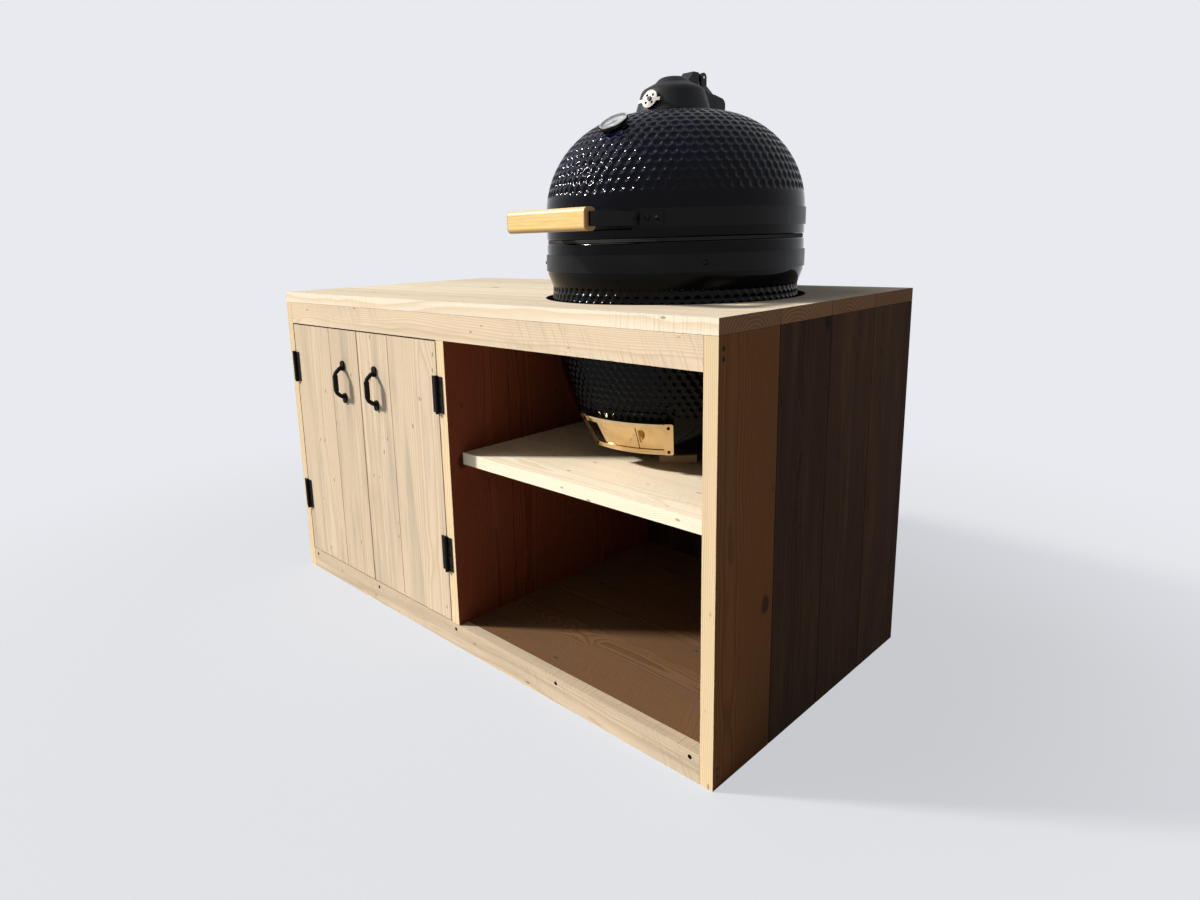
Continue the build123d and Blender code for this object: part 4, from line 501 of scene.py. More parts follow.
def gauge_case(name):
    """A polished bezel on a dark case."""
    finish, w, shader = new_finish(name)
    place = w.object_place()
    marks = w.group(HANDLED_SURFACE, Place=place, Grain_Scale=500.0)
    _, y, z = w.split(place)
    back = w.times(w.less(y, DIAL_Y), -math.cos(DIAL_LEAN))
    rise = w.plus(back, w.times(w.less(z, DIAL_Z), math.sin(DIAL_LEAN)))
    bezel = w.fade(rise, BEZEL_RISE, BEZEL_RISE + 0.0004)
    bright = w.mix(w.fade(marks["Smudge"], 0.35, 0.75), paint("e2e1dd"), paint("bdbab2"))
    w.put(shader["Base Color"], w.mix(bezel, paint("2a2725"), bright))
    w.put(shader["Metallic"], 1.0)
    w.put(shader["Roughness"], w.fade(marks["Smudge"], 0.3, 0.75, 0.10, 0.22))
    return finish


def dial_window(name):
    """Clear glass with a trace of smears."""
    finish, w, shader = new_finish(name)
    marks = w.group(HANDLED_SURFACE, Place=w.object_place(), Grain_Scale=300.0)
    w.put(shader["Base Color"], w.mix(w.fade(marks["Smudge"], 0.4, 0.7), paint("ffffff"), paint("f1f6f6")))
    w.put(shader["Roughness"], w.fade(marks["Smudge"], 0.45, 0.8, 0.0, 0.06))
    w.put(shader["Transmission Weight"], 1.0)
    w.put(shader["IOR"], 1.45)
    return finish


OTHER_FINISHES = {
    "black_hardware": (black_finish, "070606", "110f0e", 0.5, 0.72, 420.0, 0.0004, 0.15),
    "black_band": (black_finish, "050506", "0b0b0d", 0.25, 0.40, 700.0, 0.00006, 0.14),
    "black_iron": (black_finish, "0c0c0d", "161618", 0.42, 0.60, 650.0, 0.0005, 0.2),
    "screw_steel": (bare_metal, "120f0d", "0a0807", 0.5, 0.7),
    "stainless": (bare_metal, "d2ccc0", "b4aa9a", 0.06, 0.16),
    # Draft frame and doors: steel in a warm gold, a painted reflection of the wooden shelf
    "draft_steel_wood_reflection": (bare_metal, "e2c89d", "c6a97d", 0.08, 0.18),
    "damper_steel": (bare_metal, "74726e", "5c5955", 0.46, 0.60),
    "dial_case": (gauge_case,),
    "black_glaze": (glazed_ceramic,),
    "firebrick": (speckled, "c7ab85", "ddc8a6", "a5875f"),
    "bare_clay": (speckled, "a89c8b", "bdb2a1", "7d7265"),
    "shoe_tile": (speckled, "cbb08a", "dcc7a5", "ac9069", 0.8),
    "felt": (speckled, "1c1b1b", "2b2a2a", "111111", 0.98, 900.0, 0.0008),
    "bamboo": (bamboo_grip,),
    "dial_face": (dial_print, "eeede8", "dedcd3", 0.35),
    "dial_marks": (dial_print, "6a6a68", "7d7c79", 0.4),
    "needle_paint": (dial_print, "3c3a38", "4a4846", 0.35),
    "dial_glass": (dial_window,),
}
FINISHES.update({name: make(name, *look) for name, (make, *look) in OTHER_FINISHES.items()})


def add_piece(name, mesh, body, finishes, nodes=()):
    """Puts a mesh in the scene, gives it its finishes, ties it to its body and hides the model's pieces that
    it stands for.
    """
    piece = bpy.data.objects.new(name, mesh)
    bpy.context.scene.collection.objects.link(piece)
    for finish in finishes:
        mesh.materials.append(FINISHES[finish])
    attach(piece, body)
    if nodes:
        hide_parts(*nodes)
    return piece


AXIS = {"x": 0, "y": 1, "z": 2}


def box_outline(low, high, face):
    """Corners of a board's broad face, counter-clockwise seen along its thickness axis."""
    first, second = [(k + AXIS[face] + 1) % 3 for k in range(2)]
    near, far = [(corner[first], corner[second]) for corner in (low, high)]
    return near, (far[0], near[1]), far, (near[0], far[1])


def board(low, high, grain, face, finish=0, outline=None, front=None):
    """One board: its box, its grain and thickness axes, its finish, and what differs from a plain one.

    Outline is its cut shape and front the finish of what faces the front.
    """
    return {
        "low": [value + SKIN for value in low],
        "high": [value - SKIN for value in high],
        "grain": AXIS[grain],
        "face": AXIS[face],
        "finish": finish,
        "front": finish if front is None else front,
        "outline": outline,
        "chance": CHANCE.random(),
    }


def board_solid(spec):
    """A board as a bmesh: its outline raised through its thickness, with worn arrises."""
    face = spec["face"]
    first, second = (face + 1) % 3, (face + 2) % 3
    outline = spec["outline"] or box_outline(spec["low"], spec["high"], "xyz"[face])
    solid = bmesh.new()
    rings = []
    for level in (spec["low"][face], spec["high"][face]):
        ring = []
        for a, b in outline:
            place = [0.0, 0.0, 0.0]
            place[face], place[first], place[second] = level, a, b
            ring.append(solid.verts.new(place))
        rings.append(ring)
    under, upper = rings
    solid.faces.new(list(reversed(under)))
    solid.faces.new(upper)
    count = len(outline)
    for number in range(count):
        after = (number + 1) % count
        solid.faces.new((under[number], under[after], upper[after], upper[number]))
    edges = [edge for edge in solid.edges if edge.calc_face_angle(0.0) > 0.5]
    wear = {"offset": ARRIS, "segments": 2, "profile": 0.6, "clamp_overlap": True}
    bmesh.ops.bevel(solid, geom=edges, affect="EDGES", **wear)
    return solid


def boards_mesh(name, specs):
    """One mesh of several boards, with their grain places, chance numbers, end faces and arrises, whose
    darkening is partly dirt and partly painted shade in the seams.
    """
    points, faces, finishes, grains, chances, ends, worn = [], [], [], [], [], [], []
    for spec in specs:
        solid = board_solid(spec)
        base = len(points)
        grain, face = spec["grain"], spec["face"]
        across = 3 - grain - face
        middle = [(a + b) / 2 for a, b in zip(spec["low"], spec["high"])]
        for number, vert in enumerate(solid.verts):
            vert.index = number
            points.append(tuple(vert.co))
            offset = [vert.co[k] - middle[k] for k in range(3)]
            grains.extend((offset[grain], offset[across], offset[face]))
            chances.append(spec["chance"])
        for polygon in solid.faces:
            faces.append([base + vert.index for vert in polygon.verts])
            finishes.append(spec["front"] if polygon.normal.y < -0.9 else spec["finish"])
            ends.append(1.0 if abs(polygon.normal[grain]) > 0.3 else 0.0)
            worn.append(1.0 if max(abs(part) for part in polygon.normal) < 0.98 else 0.0)
        solid.free()
    mesh = bpy.data.meshes.new(name)
    mesh.from_pydata(points, [], faces)
    mesh.attributes.new("board_grain", "FLOAT_VECTOR", "POINT").data.foreach_set("vector", grains)
    mesh.attributes.new("board_chance", "FLOAT", "POINT").data.foreach_set("value", chances)
    mesh.attributes.new("board_end", "FLOAT", "FACE").data.foreach_set("value", ends)
    mesh.attributes.new("board_arris", "FLOAT", "FACE").data.foreach_set("value", worn)
    mesh.polygons.foreach_set("material_index", finishes)
    mesh.update()
    return mesh


def spans(start, end, seam=SEAM):
    """Where each board of a panel starts and ends: whole boards, then one cut to what is left."""
    edges = [start]
    while end - edges[-1] > BOARD_WIDTH + WIDER_LAST:
        edges.append(edges[-1] + BOARD_WIDTH)
    edges.append(end)
    last = len(edges) - 1
    lows = [edge + (seam / 2 if number else 0.0) for number, edge in enumerate(edges[:-1])]
    highs = [edge - (seam / 2 if number < last - 1 else 0.0) for number, edge in enumerate(edges[1:])]
    return list(zip(lows, highs))


def cutout_arc(start_y, end_y, side, steps=40):
    """Points of the round cut-out between two Y places, on its left (-1) or its right (1) half."""
    reach = CUTOUT_R + SKIN
    turns = [math.asin(max(-1.0, min(1.0, (y - KAMADO_Y) / reach))) for y in (start_y, end_y)]
    points = []
    for number in range(steps + 1):
        turn = turns[0] + (turns[1] - turns[0]) * number / steps
        points.append((KAMADO_X + side * reach * math.cos(turn), KAMADO_Y + reach * math.sin(turn)))
    return points


def worktop_outlines(low_y, high_y):
    """Outlines of the pieces that the round cut-out leaves of one worktop board."""
    left, right = LEFT + SKIN, RIGHT - SKIN
    near, far = KAMADO_Y - CUTOUT_R - SKIN, KAMADO_Y + CUTOUT_R + SKIN
    if low_y > near and high_y < far:
        return [
            [(left, low_y)] + cutout_arc(low_y, high_y, -1) + [(left, high_y)],
            [(right, high_y)] + cutout_arc(high_y, low_y, 1) + [(right, low_y)],
        ]
    if low_y <= near:
        notch = cutout_arc(high_y, near, 1) + cutout_arc(near, high_y, -1)[1:]
        return [[(left, low_y), (right, low_y), (right, high_y)] + notch + [(left, high_y)]]
    notch = cutout_arc(low_y, far, -1) + cutout_arc(far, low_y, 1)[1:]
    return [[(right, high_y), (left, high_y), (left, low_y)] + notch + [(right, low_y)]]


# Worktop
for number, (low_y, high_y) in enumerate(spans(FRONT, BACK, WORKTOP_SEAM), 1):
    specs = []
    chance = CHANCE.random()
    for outline in worktop_outlines(low_y + SKIN, high_y - SKIN):
        # Planks behind the first take the umber timber on faces that look to the front, in the seams and at
        # the back of the cut-out: painted shade there
        seam_face_shade = None if number == 1 else 1
        low, high = (LEFT, low_y, TOP_UNDER), (RIGHT, high_y, TOP)
        spec = board(low, high, "x", "z", outline=outline, front=seam_face_shade)
        spec["chance"] = chance
        specs.append(spec)
    name = f"worktop_plank_{number}"
    mesh = boards_mesh(f"scaffold_{name}", specs)
    finishes = ["worktop_timber", "umber_and_painted_shade_timber"]
    add_piece(f"scaffold_{name}", mesh, "cabinet", finishes, [name])


def panel(name, specs, body, finishes, nodes):
    """A panel of boards that stands for some nodes."""
    return add_piece(name, boards_mesh(name, specs), body, finishes, nodes)


def upright_boards(low_x, high_x, low_z, first_edge, rest=0):
    """Upright boards from front to back: the first has its own front edge, the others the finish rest."""
    return [
        board(
            (low_x, low_y, low_z),
            (high_x, high_y, TOP_UNDER),
            "z",
            "x",
            finish=rest if number else 0,
            front=None if number else first_edge,
        )
        for number, (low_y, high_y) in enumerate(spans(FRONT, INNER_BACK))
    ]


def lying_boards(low_x, high_x, low_y, high_y, high_z):
    """Boards that lie along the cabinet, side by side."""
    return [
        board((low_x, low, high_z - BOARD_THICK), (high_x, high, high_z), "x", "z")
        for low, high in spans(low_y, high_y)
    ]


# Side panels: the front board's faces take painted shade in a honey tone under a pale front edge; the others
# are darker umber wood with painted shade on top
SIDE_FINISHES = ["honey_painted_shade_timber", "umber_and_painted_shade_timber", "edge_timber"]
for name, low_x, high_x in (("left_side", LEFT, INNER_LEFT), ("right_side", INNER_RIGHT, RIGHT)):
    specs = upright_boards(low_x, high_x, 0.0, first_edge=2, rest=1)
    panel(f"{name}_boards", specs, "cabinet", SIDE_FINISHES, [f"{name}_planks"])

# Partition, notched for the top rail
specs = upright_boards(-PARTITION_HALF, PARTITION_HALF, RAIL_HEIGHT, first_edge=1)
notch_low, notch_back = TOP_UNDER - RAIL_HEIGHT - SKIN, RAIL_BACK + SKIN
first_low, first_high = specs[0]["low"], specs[0]["high"]
specs[0]["outline"] = [
    (first_low[1], first_low[2]),
    (first_high[1], first_low[2]),
    (first_high[1], first_high[2]),
    (notch_back, first_high[2]),
    (notch_back, notch_low),
    (first_low[1], notch_low),
]
# The partition's faces take painted shade in a reddish brown; its front edge keeps the pale edge timber
partition_finishes = ["inner_timber", "edge_timber"]
panel("partition_boards", specs, "cabinet", partition_finishes, ["partition_planks"])

# Back, rails, bottom and shelf
specs = [
    board((low, INNER_BACK, 0.0), (high, BACK, TOP_UNDER), "z", "y")
    for low, high in spans(LEFT, RIGHT, BUTTED)
]
panel("back_boards", specs, "cabinet", ["umber_and_painted_shade_timber"], ["back_planks"])

specs = [
    board((INNER_LEFT, FRONT, low), (INNER_RIGHT, RAIL_BACK, low + RAIL_HEIGHT), "x", "y")
    for low in (0.0, TOP_UNDER - RAIL_HEIGHT)
]
# The bottom rail takes the darker plinth timber: painted shade
specs[0]["finish"] = specs[0]["front"] = 1
rail_finishes = ["rail_timber", "plinth_painted_shade_timber"]
panel("front_rail_boards", specs, "cabinet", rail_finishes, ["front_rails"])

# Bottom boards: painted shade, darker than their own wood
specs = lying_boards(INNER_LEFT, INNER_RIGHT, RAIL_BACK, INNER_BACK, RAIL_HEIGHT)
panel("bottom_boards", specs, "cabinet", ["floor_painted_shade_timber"], ["bottom_planks"])

specs = lying_boards(PARTITION_HALF, INNER_RIGHT, SHELF_FRONT, INNER_BACK, SHELF_TOP)
panel("shelf_boards", specs, "cabinet", ["shelf_timber"], ["shelf_planks"])

# Doors
for side, door_spans in DOOR_SPANS.items():
    specs = [
        board((low, FRONT, DOOR_LOW), (high, DOOR_BACK, DOOR_HIGH), "z", "y") for low, high in door_spans
    ]
    body = f"{side}_door"
    panel(f"{side}_door_boards", specs, body, ["door_timber"], [f"{side}_door_planks"])


def ring_turns(columns):
    """The turns of a ring's points, evenly spread."""
    return np.arange(columns) * 2 * math.pi / columns


def ring_rows(profile, turns, sink=None):
    """Points of a turned surface: a ring for each profile row, pushed in along its normal by sink."""
    radius, height, normal_r, normal_z = (profile[:, k][:, None] for k in range(4))
    sunk = np.zeros((len(profile), len(turns))) if sink is None else sink
    reach = radius - normal_r * sunk
    x = KAMADO_X + reach * np.cos(turns)[None, :]
    y = KAMADO_Y + reach * np.sin(turns)[None, :]
    z = height - normal_z * sunk
    return np.stack([x, y, np.broadcast_to(z, x.shape)], axis=-1).reshape(-1, 3)


def ring_quads(base, rows, columns, skip=None):
    """Quads between the rings of one turned surface; skip tells which to leave out."""
    faces = []
    for row in range(rows - 1):
        for column in range(columns):
            if skip and skip(row, column):
                continue
            after = (column + 1) % columns
            low, high = base + row * columns, base + (row + 1) * columns
            faces.append((low + column, low + after, high + after, high + column))
    return faces


def ring_bridge(many_base, many, few_base, few, upward):
    """Faces between a ring of many points and a ring of few; upward puts the many first."""
    faces = []
    share = many // few
    for number in range(few):
        edge = [many_base + (number * share + step) % many for step in range(share + 1)]
        pair = [few_base + (number + 1) % few, few_base + number]
        faces.append(edge + pair if upward else list(reversed(edge)) + list(reversed(pair)))
    return faces


def dimple_sink(rows_at, round_at, radii, turns, along, dimple_r, depth):
    """How far each point of a turned surface is pushed in by rows of round dimples."""
    sink = np.zeros((len(radii), len(turns)))
    ball = (dimple_r**2 + depth**2) / (2 * depth)
    for number, (place, count) in enumerate(zip(rows_at, round_at)):
        near = np.abs(along - place) < dimple_r
        step = 2 * math.pi / count
        start = FACING_CAMERA + (step / 2 if number % 2 else 0.0)
        part = (turns - start) / step
        offset = (part - np.round(part)) * step
        across = offset[None, :] * radii[near][:, None]
        gap = np.hypot(across, (along[near] - place)[:, None])
        cap = np.sqrt(np.maximum(ball**2 - gap**2, 0.0)) - (ball - depth)
        sink[near] = np.maximum(sink[near], np.where(gap < dimple_r, cap, 0.0))
    return sink


def finish_turned(name, points, glazed, bare):
    """A smooth mesh of a turned piece with its hard edges kept: its glazed faces, then its bare ones."""
    mesh = bpy.data.meshes.new(name)
    mesh.from_pydata(points, [], glazed + bare)
    mesh.polygons.foreach_set("material_index", [0] * len(glazed) + [1] * len(bare))
    mesh.polygons.foreach_set("use_smooth", [True] * len(mesh.polygons))
    mesh.set_sharp_from_angle(angle=HARD_EDGE)
    mesh.update()
    return mesh


# How far the rounded rim is set in, and how far that is from the rim's flat, step by step
ROUNDED_RIM = [
    (RIM_ROUND * (1 - math.sin(turn)), RIM_ROUND * (1 - math.cos(turn)))
    for turn in np.radians((0, 22, 45, 68))
]


def dome_profile(arc_r, low_z, stops, rim_round=((0.0, 0.0),)):
    """Rows of the dome's outside or inside: the upright belt, then places along the arc."""
    belt_r = DOME_ARC_X + arc_r
    rows = [(belt_r - inset, low_z + rise, 1.0, 0.0) for inset, rise in rim_round]
    rows += [(belt_r, z, 1.0, 0.0) for z in np.linspace(low_z + RIM_ROUND, DOME_ARC_Z, 5)[:-1]]
    for stop in stops:
        turn = stop / arc_r
        out, up = math.cos(turn), math.sin(turn)
        rows.append((DOME_ARC_X + arc_r * out, DOME_ARC_Z + arc_r * up, out, up))
    return np.array(rows)


SHELL_FINISHES = ["black_glaze", "bare_clay"]


def build_dome():
    """The dome: dimpled outside, plain inside, open at the vent."""
    columns, turns, inside_turns = DOME_COLUMNS, ring_turns(DOME_COLUMNS), ring_turns(INSIDE_COLUMNS)
    end = math.acos((VENT_HOLE_R - DOME_ARC_X) / DOME_ARC_R) * DOME_ARC_R
    first = DOME_FIRST_ROW - DOME_DIMPLE_R
    last = DOME_FIRST_ROW + DOME_ROW_STEP * (DOME_ROWS - 1) + DOME_DIMPLE_R
    dimpled = np.arange(first, last, DOME_RING_GAP)[1:]
    stops = [*np.linspace(0.0, first, 8), *dimpled, *np.linspace(last, end, 8)]
    outside = dome_profile(DOME_ARC_R, LID_Z, stops, ROUNDED_RIM)
    belt = len(outside) - len(stops)
    along = np.array([-1.0] * belt + list(stops))
    rows_at = [DOME_FIRST_ROW + DOME_ROW_STEP * number for number in range(DOME_ROWS)]
    row_radii = [DOME_ARC_X + DOME_ARC_R * math.cos(place / DOME_ARC_R) for place in rows_at]
    round_at = [round(2 * math.pi * radius / DOME_DIMPLE_PITCH) for radius in row_radii]
    sink = dimple_sink(rows_at, round_at, outside[:, 0], turns, along, DOME_DIMPLE_R, DOME_DIMPLE_DEPTH)
    inner_r = DOME_ARC_R - DOME_WALL
    inner_end = math.acos((VENT_HOLE_R - DOME_ARC_X) / inner_r) * inner_r
    inside = dome_profile(inner_r, LID_Z, np.linspace(0.0, inner_end, 40))[::-1]
    points = np.concatenate([ring_rows(outside, turns, sink), ring_rows(inside, inside_turns)])
    inner_base = len(outside) * columns
    faces = ring_quads(0, len(outside), columns)
    faces += ring_bridge((len(outside) - 1) * columns, columns, inner_base, INSIDE_COLUMNS, True)
    last_inside = inner_base + (len(inside) - 1) * INSIDE_COLUMNS
    faces += ring_bridge(0, columns, last_inside, INSIDE_COLUMNS, False)
    mesh = finish_turned("dimpled_dome", points, faces, ring_quads(inner_base, len(inside), INSIDE_COLUMNS))
    return add_piece("dimpled_dome", mesh, "lid", SHELL_FINISHES, ["kamado_dome"])


def circle_through(a, b, c):
    """Centre and radius of the circle through three points."""
    (ax, ay), (bx, by), (cx, cy) = a, b, c
    twice = 2 * (ax * (by - cy) + bx * (cy - ay) + cx * (ay - by))
    aa, bb, cc = ax**2 + ay**2, bx**2 + by**2, cx**2 + cy**2
    x = (aa * (by - cy) + bb * (cy - ay) + cc * (ay - by)) / twice
    y = (aa * (cx - bx) + bb * (ax - cx) + cc * (bx - ax)) / twice
    return x, y, math.hypot(ax - x, ay - y)


# Heights of the rings between the belly and the rim's belt, where the topmost dimples run out
NECK_ROWS = (0.9067, 0.9084, 0.9101, 0.9120)


def bowl_profile(wall, foot_r, foot_z, rim_r, heights, rim_round=((0.0, 0.0),)):
    """Rows of the bowl's outside or inside: heel arc, belly arc at the given heights, neck and rim."""
    heel = (BOWL_HEEL[0] - wall, BOWL_HEEL[1])
    belly, neck = ((radius - wall, z) for radius, z in (BOWL_BELLY, BOWL_NECK))
    belly_x, belly_z, belly_r = circle_through(heel, belly, neck)
    # The heel's arc leaves the belly's arc square to the same radius and ends at the foot
    out = Vector((heel[0] - belly_x, heel[1] - belly_z)).normalized()
    chord = Vector((foot_r - heel[0], foot_z - heel[1]))
    heel_r = -chord.length_squared / (2 * chord.dot(out))
    heel_middle = Vector(heel) - out * heel_r
    start = math.atan2(foot_z - heel_middle.y, foot_r - heel_middle.x)
    end = math.atan2(heel[1] - heel_middle.y, heel[0] - heel_middle.x)
    rows = []
    port_turn = math.asin((PORT_LOW - heel_middle.y) / heel_r)
    for turn in sorted([*np.linspace(start, end, 16)[:-1], port_turn]):
        side, up = math.cos(turn), math.sin(turn)
        rows.append((heel_middle.x + heel_r * side, heel_middle.y + heel_r * up, side, up))
    for z in heights:
        reach = math.sqrt(belly_r**2 - (z - belly_z) ** 2)
        rows.append((belly_x + reach, z, reach / belly_r, (z - belly_z) / belly_r))
    last = rows[-1]
    for z in NECK_ROWS:
        share = (z - last[1]) / (BELT_LOW_Z - last[1])
        rows.append((last[0] + (rim_r - last[0]) * share, z, last[2], last[3]))
    rows += [(rim_r, z, 1.0, 0.0) for z in np.linspace(BELT_LOW_Z, RIM_Z - RIM_ROUND, 6)]
    rows += [(rim_r - inset, RIM_Z - drop, 1.0, 0.0) for inset, drop in reversed(rim_round)]
    return np.array(rows)


def port_rows(profile):
    """The rows of quads that the draft port opens."""
    middles = (profile[:-1, 1] + profile[1:, 1]) / 2
    return list(np.flatnonzero((middles > PORT_LOW) & (middles < PORT_HIGH)))


def port_columns(count):
    """The columns of quads that the draft port opens in a ring of so many, counted from the front."""
    first = round((PORT_TURNS[0] - 90) / 360 * count)
    width = round((PORT_TURNS[1] - PORT_TURNS[0]) / 360 * count)
    return [(first + step) % count for step in range(width)]


def port_edges(profile, base, count):
    """The port's left, top, right and bottom edges in one surface, each from left or from below."""
    rows, open_columns = port_rows(profile), port_columns(count)
    ends = sorted({*rows, *(row + 1 for row in rows)}, key=lambda row: profile[row, 1])
    across = [*open_columns, (open_columns[-1] + 1) % count]
    left, right = ([base + row * count + column for row in ends] for column in (across[0], across[-1]))
    bottom, top = ([base + row * count + column for column in across] for row in (ends[0], ends[-1]))
    return left, top, right, bottom


def port_skip(profile, count):
    """Tells which quads of a surface the draft port leaves out."""
    open_rows, open_columns = set(port_rows(profile)), set(port_columns(count))
    return lambda row, column: row in open_rows and column in open_columns


def build_bowl():
    """The bowl: dimpled below its rim belt, plain inside, with the draft port cut through it."""
    columns, turns, inside_turns = BOWL_COLUMNS, ring_turns(BOWL_COLUMNS), ring_turns(INSIDE_COLUMNS)
    rows_at = [BOWL_FIRST_ROW_Z - BOWL_ROW_STEP * number for number in range(BOWL_ROWS)]
    lowest = rows_at[-1] - BOWL_DIMPLE_R
    heights = [BOWL_HEEL[1], PORT_HIGH, *np.arange(lowest, BOWL_NECK[1], BOWL_RING_GAP), BOWL_NECK[1]]
    outside = bowl_profile(0.0, BOWL_FOOT_R, BOWL_Z, RIM_R, heights, ROUNDED_RIM)
    round_at = [BOWL_DIMPLES_ROUND] * BOWL_ROWS
    radii, along = outside[:, 0], outside[:, 1]
    sink = dimple_sink(rows_at, round_at, radii, turns, along, BOWL_DIMPLE_R, BOWL_DIMPLE_DEPTH)
    inner_heights = [BOWL_HEEL[1], PORT_HIGH, *np.linspace(0.65, BOWL_NECK[1], 9)]
    inner_foot_r, inner_rim_r = BOWL_FOOT_R - BOWL_WALL, RIM_R - RIM_WALL
    inside = bowl_profile(BOWL_WALL, inner_foot_r, BOWL_FLOOR_Z, inner_rim_r, inner_heights)[::-1]
    points = np.concatenate([ring_rows(outside, turns, sink), ring_rows(inside, inside_turns)])
    inner_base = len(outside) * columns
    last_inside = inner_base + (len(inside) - 1) * INSIDE_COLUMNS
    faces = ring_quads(0, len(outside), columns, port_skip(outside, columns))
    bare = ring_quads(inner_base, len(inside), INSIDE_COLUMNS, port_skip(inside, INSIDE_COLUMNS))
    bare.append([last_inside + number for number in range(INSIDE_COLUMNS)])
    outer_edges = port_edges(outside, 0, columns)
    inner_edges = port_edges(inside, inner_base, INSIDE_COLUMNS)
    for number, (outer, inner) in enumerate(zip(outer_edges, inner_edges)):
        wall = outer + inner[::-1]
        faces.append(wall if number in (0, 3) else wall[::-1])
    faces += ring_bridge((len(outside) - 1) * columns, columns, inner_base, INSIDE_COLUMNS, True)
    faces.append(list(range(columns))[::-1])
    mesh = finish_turned("dimpled_bowl", points, faces, bare)
    return add_piece("dimpled_bowl", mesh, "cabinet", SHELL_FINISHES, ["kamado_bowl"])


build_dome()
build_bowl()

# Carried-over pieces and their finishes
CARRIED = {
    "batten_y_timber": ["worktop_battens", "floor_bearers"],
    "cleat_painted_shade_timber": ["shelf_cleats"],
    "batten_x_timber": ["door_stop", "left_door_ledges", "right_door_ledges"],
    "screw_steel": [
        "cabinet_screws",
        "left_door_screws",
        "right_door_screws",
        "draft_screws",
        "lid_hinge_pin",
    ],
    "black_hardware": [
        "frame_hinge_leaves",
        "hinge_pins",
        "left_door_hinge_leaves",
        "right_door_hinge_leaves",
        "left_door_pull",
        "right_door_pull",
    ],
    "shoe_tile": ["kamado_shoes"],
    "firebrick": ["firebox", "fire_ring"],
    "black_iron": ["charcoal_grate", "vent_tower", "vent_cap"],
    "stainless": ["magnet_catches", "cooking_grate", "vent_cap_pin"],
    "draft_steel_wood_reflection": ["draft_frame", "draft_door_left", "draft_door_right"],
    "damper_steel": ["vent_damper"],
    "black_band": [
        "lower_band",
        "upper_band",
        "lower_band_bolts",
        "upper_band_bolts",
        "hinge_base_bracket",
        "hinge_lid_bracket",
        "handle_arms",
    ],
    "felt": ["bowl_gasket", "dome_gasket"],
    "bamboo": ["handle_grip"],
    "dial_case": ["thermometer_case"],
    "dial_glass": ["thermometer_lens"],
    "needle_paint": ["thermometer_needle"],
}
for finish, nodes in CARRIED.items():
    for node in nodes:
        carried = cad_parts[node]
        carried.data.materials.clear()
        carried.data.materials.append(FINISHES[finish])

# Thermometer dial: a plate under the needle with a ring of plain marks, every third one long.
# A mark has its inner radius and half its width. The marks start at the lower left and run clockwise.
DIAL_R, DIAL_BEVEL, DIAL_HOLE_R = 0.0272, 0.0006, 0.0022
DIAL_RISE, DIAL_HALF, MARK_LIFT = 0.0046, 0.00005, 0.00012
DIAL_POINTS = 96
MARKS, MARKS_IN_STEP = 28, 3
MARKS_FROM, MARKS_OVER = 225, 270
MARK_OUTER = 0.0250
LONG_MARK = (0.0196, 0.0006)
SHORT_MARK = (0.0220, 0.0003)
dial_out = Vector((0.0, -math.cos(DIAL_LEAN), math.sin(DIAL_LEAN)))
dial_right = Vector((1.0, 0.0, 0.0))
dial_up = dial_out.cross(dial_right)
dial_base = Vector((KAMADO_X, DIAL_Y, DIAL_Z))


def dial_point(radius, turn, rise):
    """A place over the dial, turned from its right."""
    flat = dial_right * (radius * math.cos(turn)) + dial_up * (radius * math.sin(turn))
    return dial_base + flat + dial_out * rise


def build_dial():
    """The dial plate and its marks as one mesh with two finishes."""
    points = []
    face_rise = DIAL_RISE + DIAL_HALF
    edge = (DIAL_R, DIAL_RISE - DIAL_HALF)
    for radius, rise in (edge, (DIAL_R - DIAL_BEVEL, face_rise), (DIAL_HOLE_R, face_rise)):
        points += [dial_point(radius, turn, rise) for turn in ring_turns(DIAL_POINTS)]
    faces = ring_quads(0, 3, DIAL_POINTS)
    finishes = [0] * len(faces) + [1] * MARKS
    for number in range(MARKS):
        turn = math.radians(MARKS_FROM - MARKS_OVER * number / (MARKS - 1))
        inner, half = SHORT_MARK if number % MARKS_IN_STEP else LONG_MARK
        base = len(points)
        for radius, side in ((inner, -1), (MARK_OUTER, -1), (MARK_OUTER, 1), (inner, 1)):
            points.append(dial_point(radius, turn + side * half / radius, DIAL_RISE + MARK_LIFT))
        faces.append((base, base + 1, base + 2, base + 3))
    mesh = bpy.data.meshes.new("dial_plate")
    mesh.from_pydata([tuple(p) for p in points], [], faces)
    mesh.polygons.foreach_set("material_index", finishes)
    mesh.update()
    return add_piece("dial_plate", mesh, "lid", ["dial_face", "dial_marks"])


build_dial()


# Stage: a pale floor, the ground behind it, a key from the front left, a weak broad light from above
# and the camera of the photograph
PALE = paint("e8eaef")
FLOOR_REACH = 30.0
# Distances from the middle over which the floor fades into the ground, and the ground's share near by
FADE_FROM, FADE_TO, NEAR_SHARE = 0.9, 2.6, 0.70


def seen_rays(w):
    """One for what the camera sees straight on, mirrored or through glass, and nought for bounced light."""
    path = w.node("ShaderNodeLightPath").outputs
    return w.most(path["Is Camera Ray"], w.most(path["Is Glossy Ray"], path["Is Transmission Ray"]))


def blend_shaders(w, share, first, second, surface):
    """Mixes two shaders into an output's surface."""
    blend = w.node("ShaderNodeMixShader")
    w.feed(blend, (0, 1, 2), (share, first, second))
    w.put(surface, blend.outputs[0])


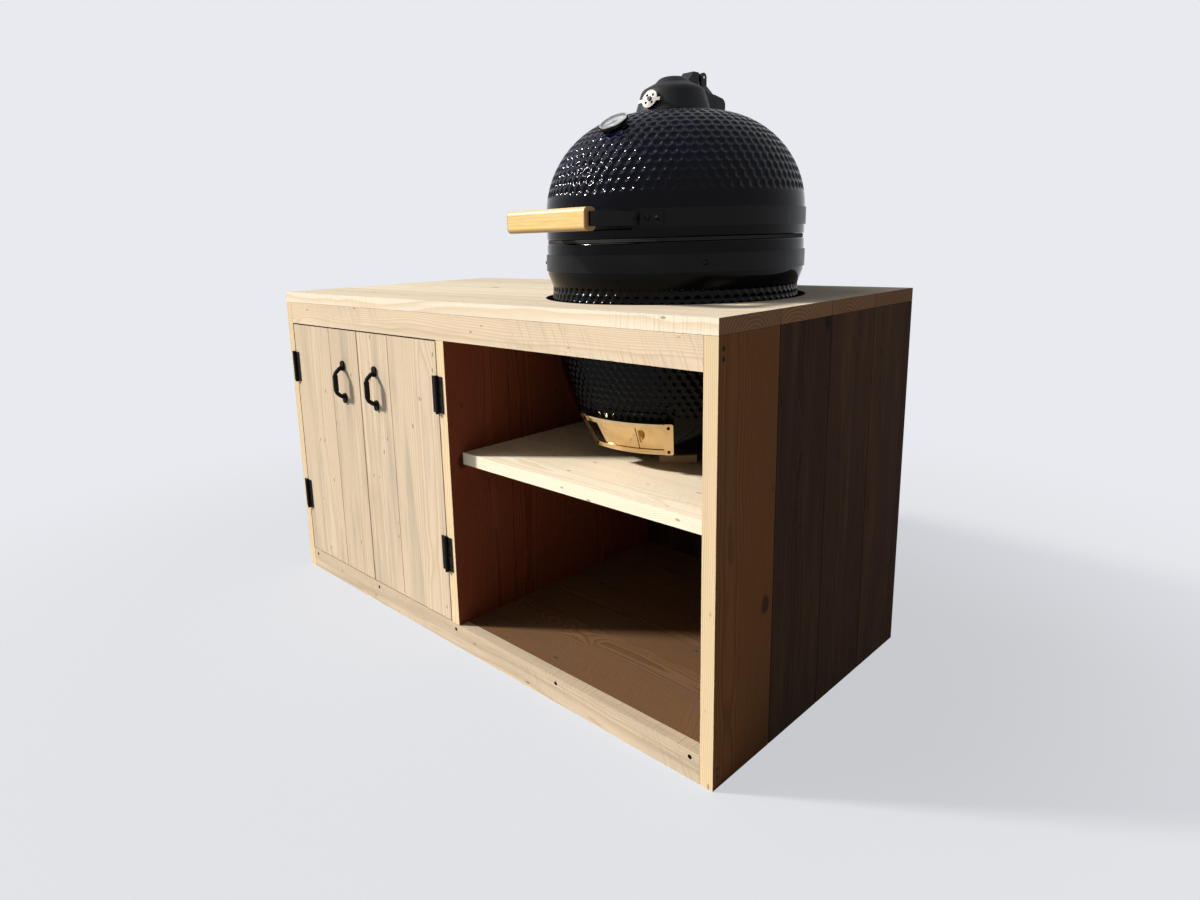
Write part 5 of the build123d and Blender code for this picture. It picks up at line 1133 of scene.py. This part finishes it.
def build_floor():
    """A wide pale floor that keeps the shadow near the object and fades into the plain ground further out."""
    mesh = bpy.data.meshes.new("studio_floor")
    corners = [(x * FLOOR_REACH, y * FLOOR_REACH, 0) for x, y in ((-1, -1), (1, -1), (1, 1), (-1, 1))]
    mesh.from_pydata(corners, [], [(0, 1, 2, 3)])
    floor = bpy.data.objects.new("studio_floor", mesh)
    bpy.context.scene.collection.objects.link(floor)
    finish, w, shader = new_finish("studio_floor")
    nodes = finish.node_tree.nodes
    w.put(shader["Base Color"], paint("c9cbd0"))
    w.put(shader["Roughness"], 0.9)
    w.put(shader["Specular IOR Level"], 0.0)
    glow = w.node("ShaderNodeEmission")
    w.put(glow.inputs["Color"], PALE)
    away = w.node("ShaderNodeVectorMath", operation="LENGTH")
    w.put(away.inputs[0], w.object_place())
    far = w.fade(away.outputs["Value"], FADE_FROM, FADE_TO, NEAR_SHARE, 1.0)
    share = w.times(far, seen_rays(w))
    lit = nodes["Principled BSDF"].outputs[0]
    blend_shaders(w, share, lit, glow.outputs[0], nodes["Material Output"].inputs["Surface"])
    mesh.materials.append(finish)


def build_world():
    """Pale ground for the camera and for reflections, and a quieter level as fill light."""
    world = bpy.data.worlds.new("studio_ground")
    bpy.context.scene.world = world
    world.use_nodes = True
    w = Wiring(world.node_tree)
    nodes = world.node_tree.nodes
    seen_ground = nodes["Background"]
    w.put(seen_ground.inputs["Color"], PALE)
    w.put(seen_ground.inputs["Strength"], 1.0)
    fill = w.node("ShaderNodeBackground")
    w.put(fill.inputs["Color"], paint("f2f3f7"))
    w.put(fill.inputs["Strength"], 0.12)
    surface = nodes["World Output"].inputs["Surface"]
    blend_shaders(w, seen_rays(w), fill.outputs[0], seen_ground.outputs[0], surface)


def add_lamp(name, energy, spread, colour, towards, place):
    """A far lamp that shines one way; its spread in degrees softens the shadows."""
    light = bpy.data.lights.new(name, "SUN")
    light.energy = energy
    light.angle = math.radians(spread)
    light.color = colour
    lamp = bpy.data.objects.new(name, light)
    bpy.context.scene.collection.objects.link(lamp)
    lamp.rotation_euler = Vector(towards).to_track_quat("-Z", "Y").to_euler()
    lamp.location = place


def build_lamps():
    """A warm key from the front left and a weak cool light from above that picks out the dimples' rims."""
    add_lamp(
        "soft_key",
        energy=5.0,
        spread=6,
        colour=(1.0, 0.965, 0.91),
        towards=(0.69, 0.52, -0.50),
        place=(-3.0, -3.0, 3.5),
    )
    add_lamp(
        "broad_sky",
        energy=0.55,
        spread=24,
        colour=(0.86, 0.92, 1.0),
        towards=(0.45, 0.35, -0.82),
        place=(-2.0, -2.0, 4.0),
    )


def build_camera():
    """The camera that took the photograph, worked out from the cabinet's edges."""
    camera = bpy.data.cameras.new("photo_camera")
    camera.sensor_width = 36.0
    camera.lens = 23.354
    camera.shift_x = 0.0351
    camera.shift_y = -0.0411
    camera.clip_end = 200.0
    holder = bpy.data.objects.new("photo_camera", camera)
    bpy.context.scene.collection.objects.link(holder)
    holder.location = (1.50527, -1.45992, 1.01249)
    holder.rotation_euler = [math.radians(turn) for turn in (78.286, 1.6302, 45.6622)]
    bpy.context.scene.camera = holder


build_floor()
build_world()
build_lamps()
build_camera()
bpy.context.scene.view_settings.view_transform = "Standard"
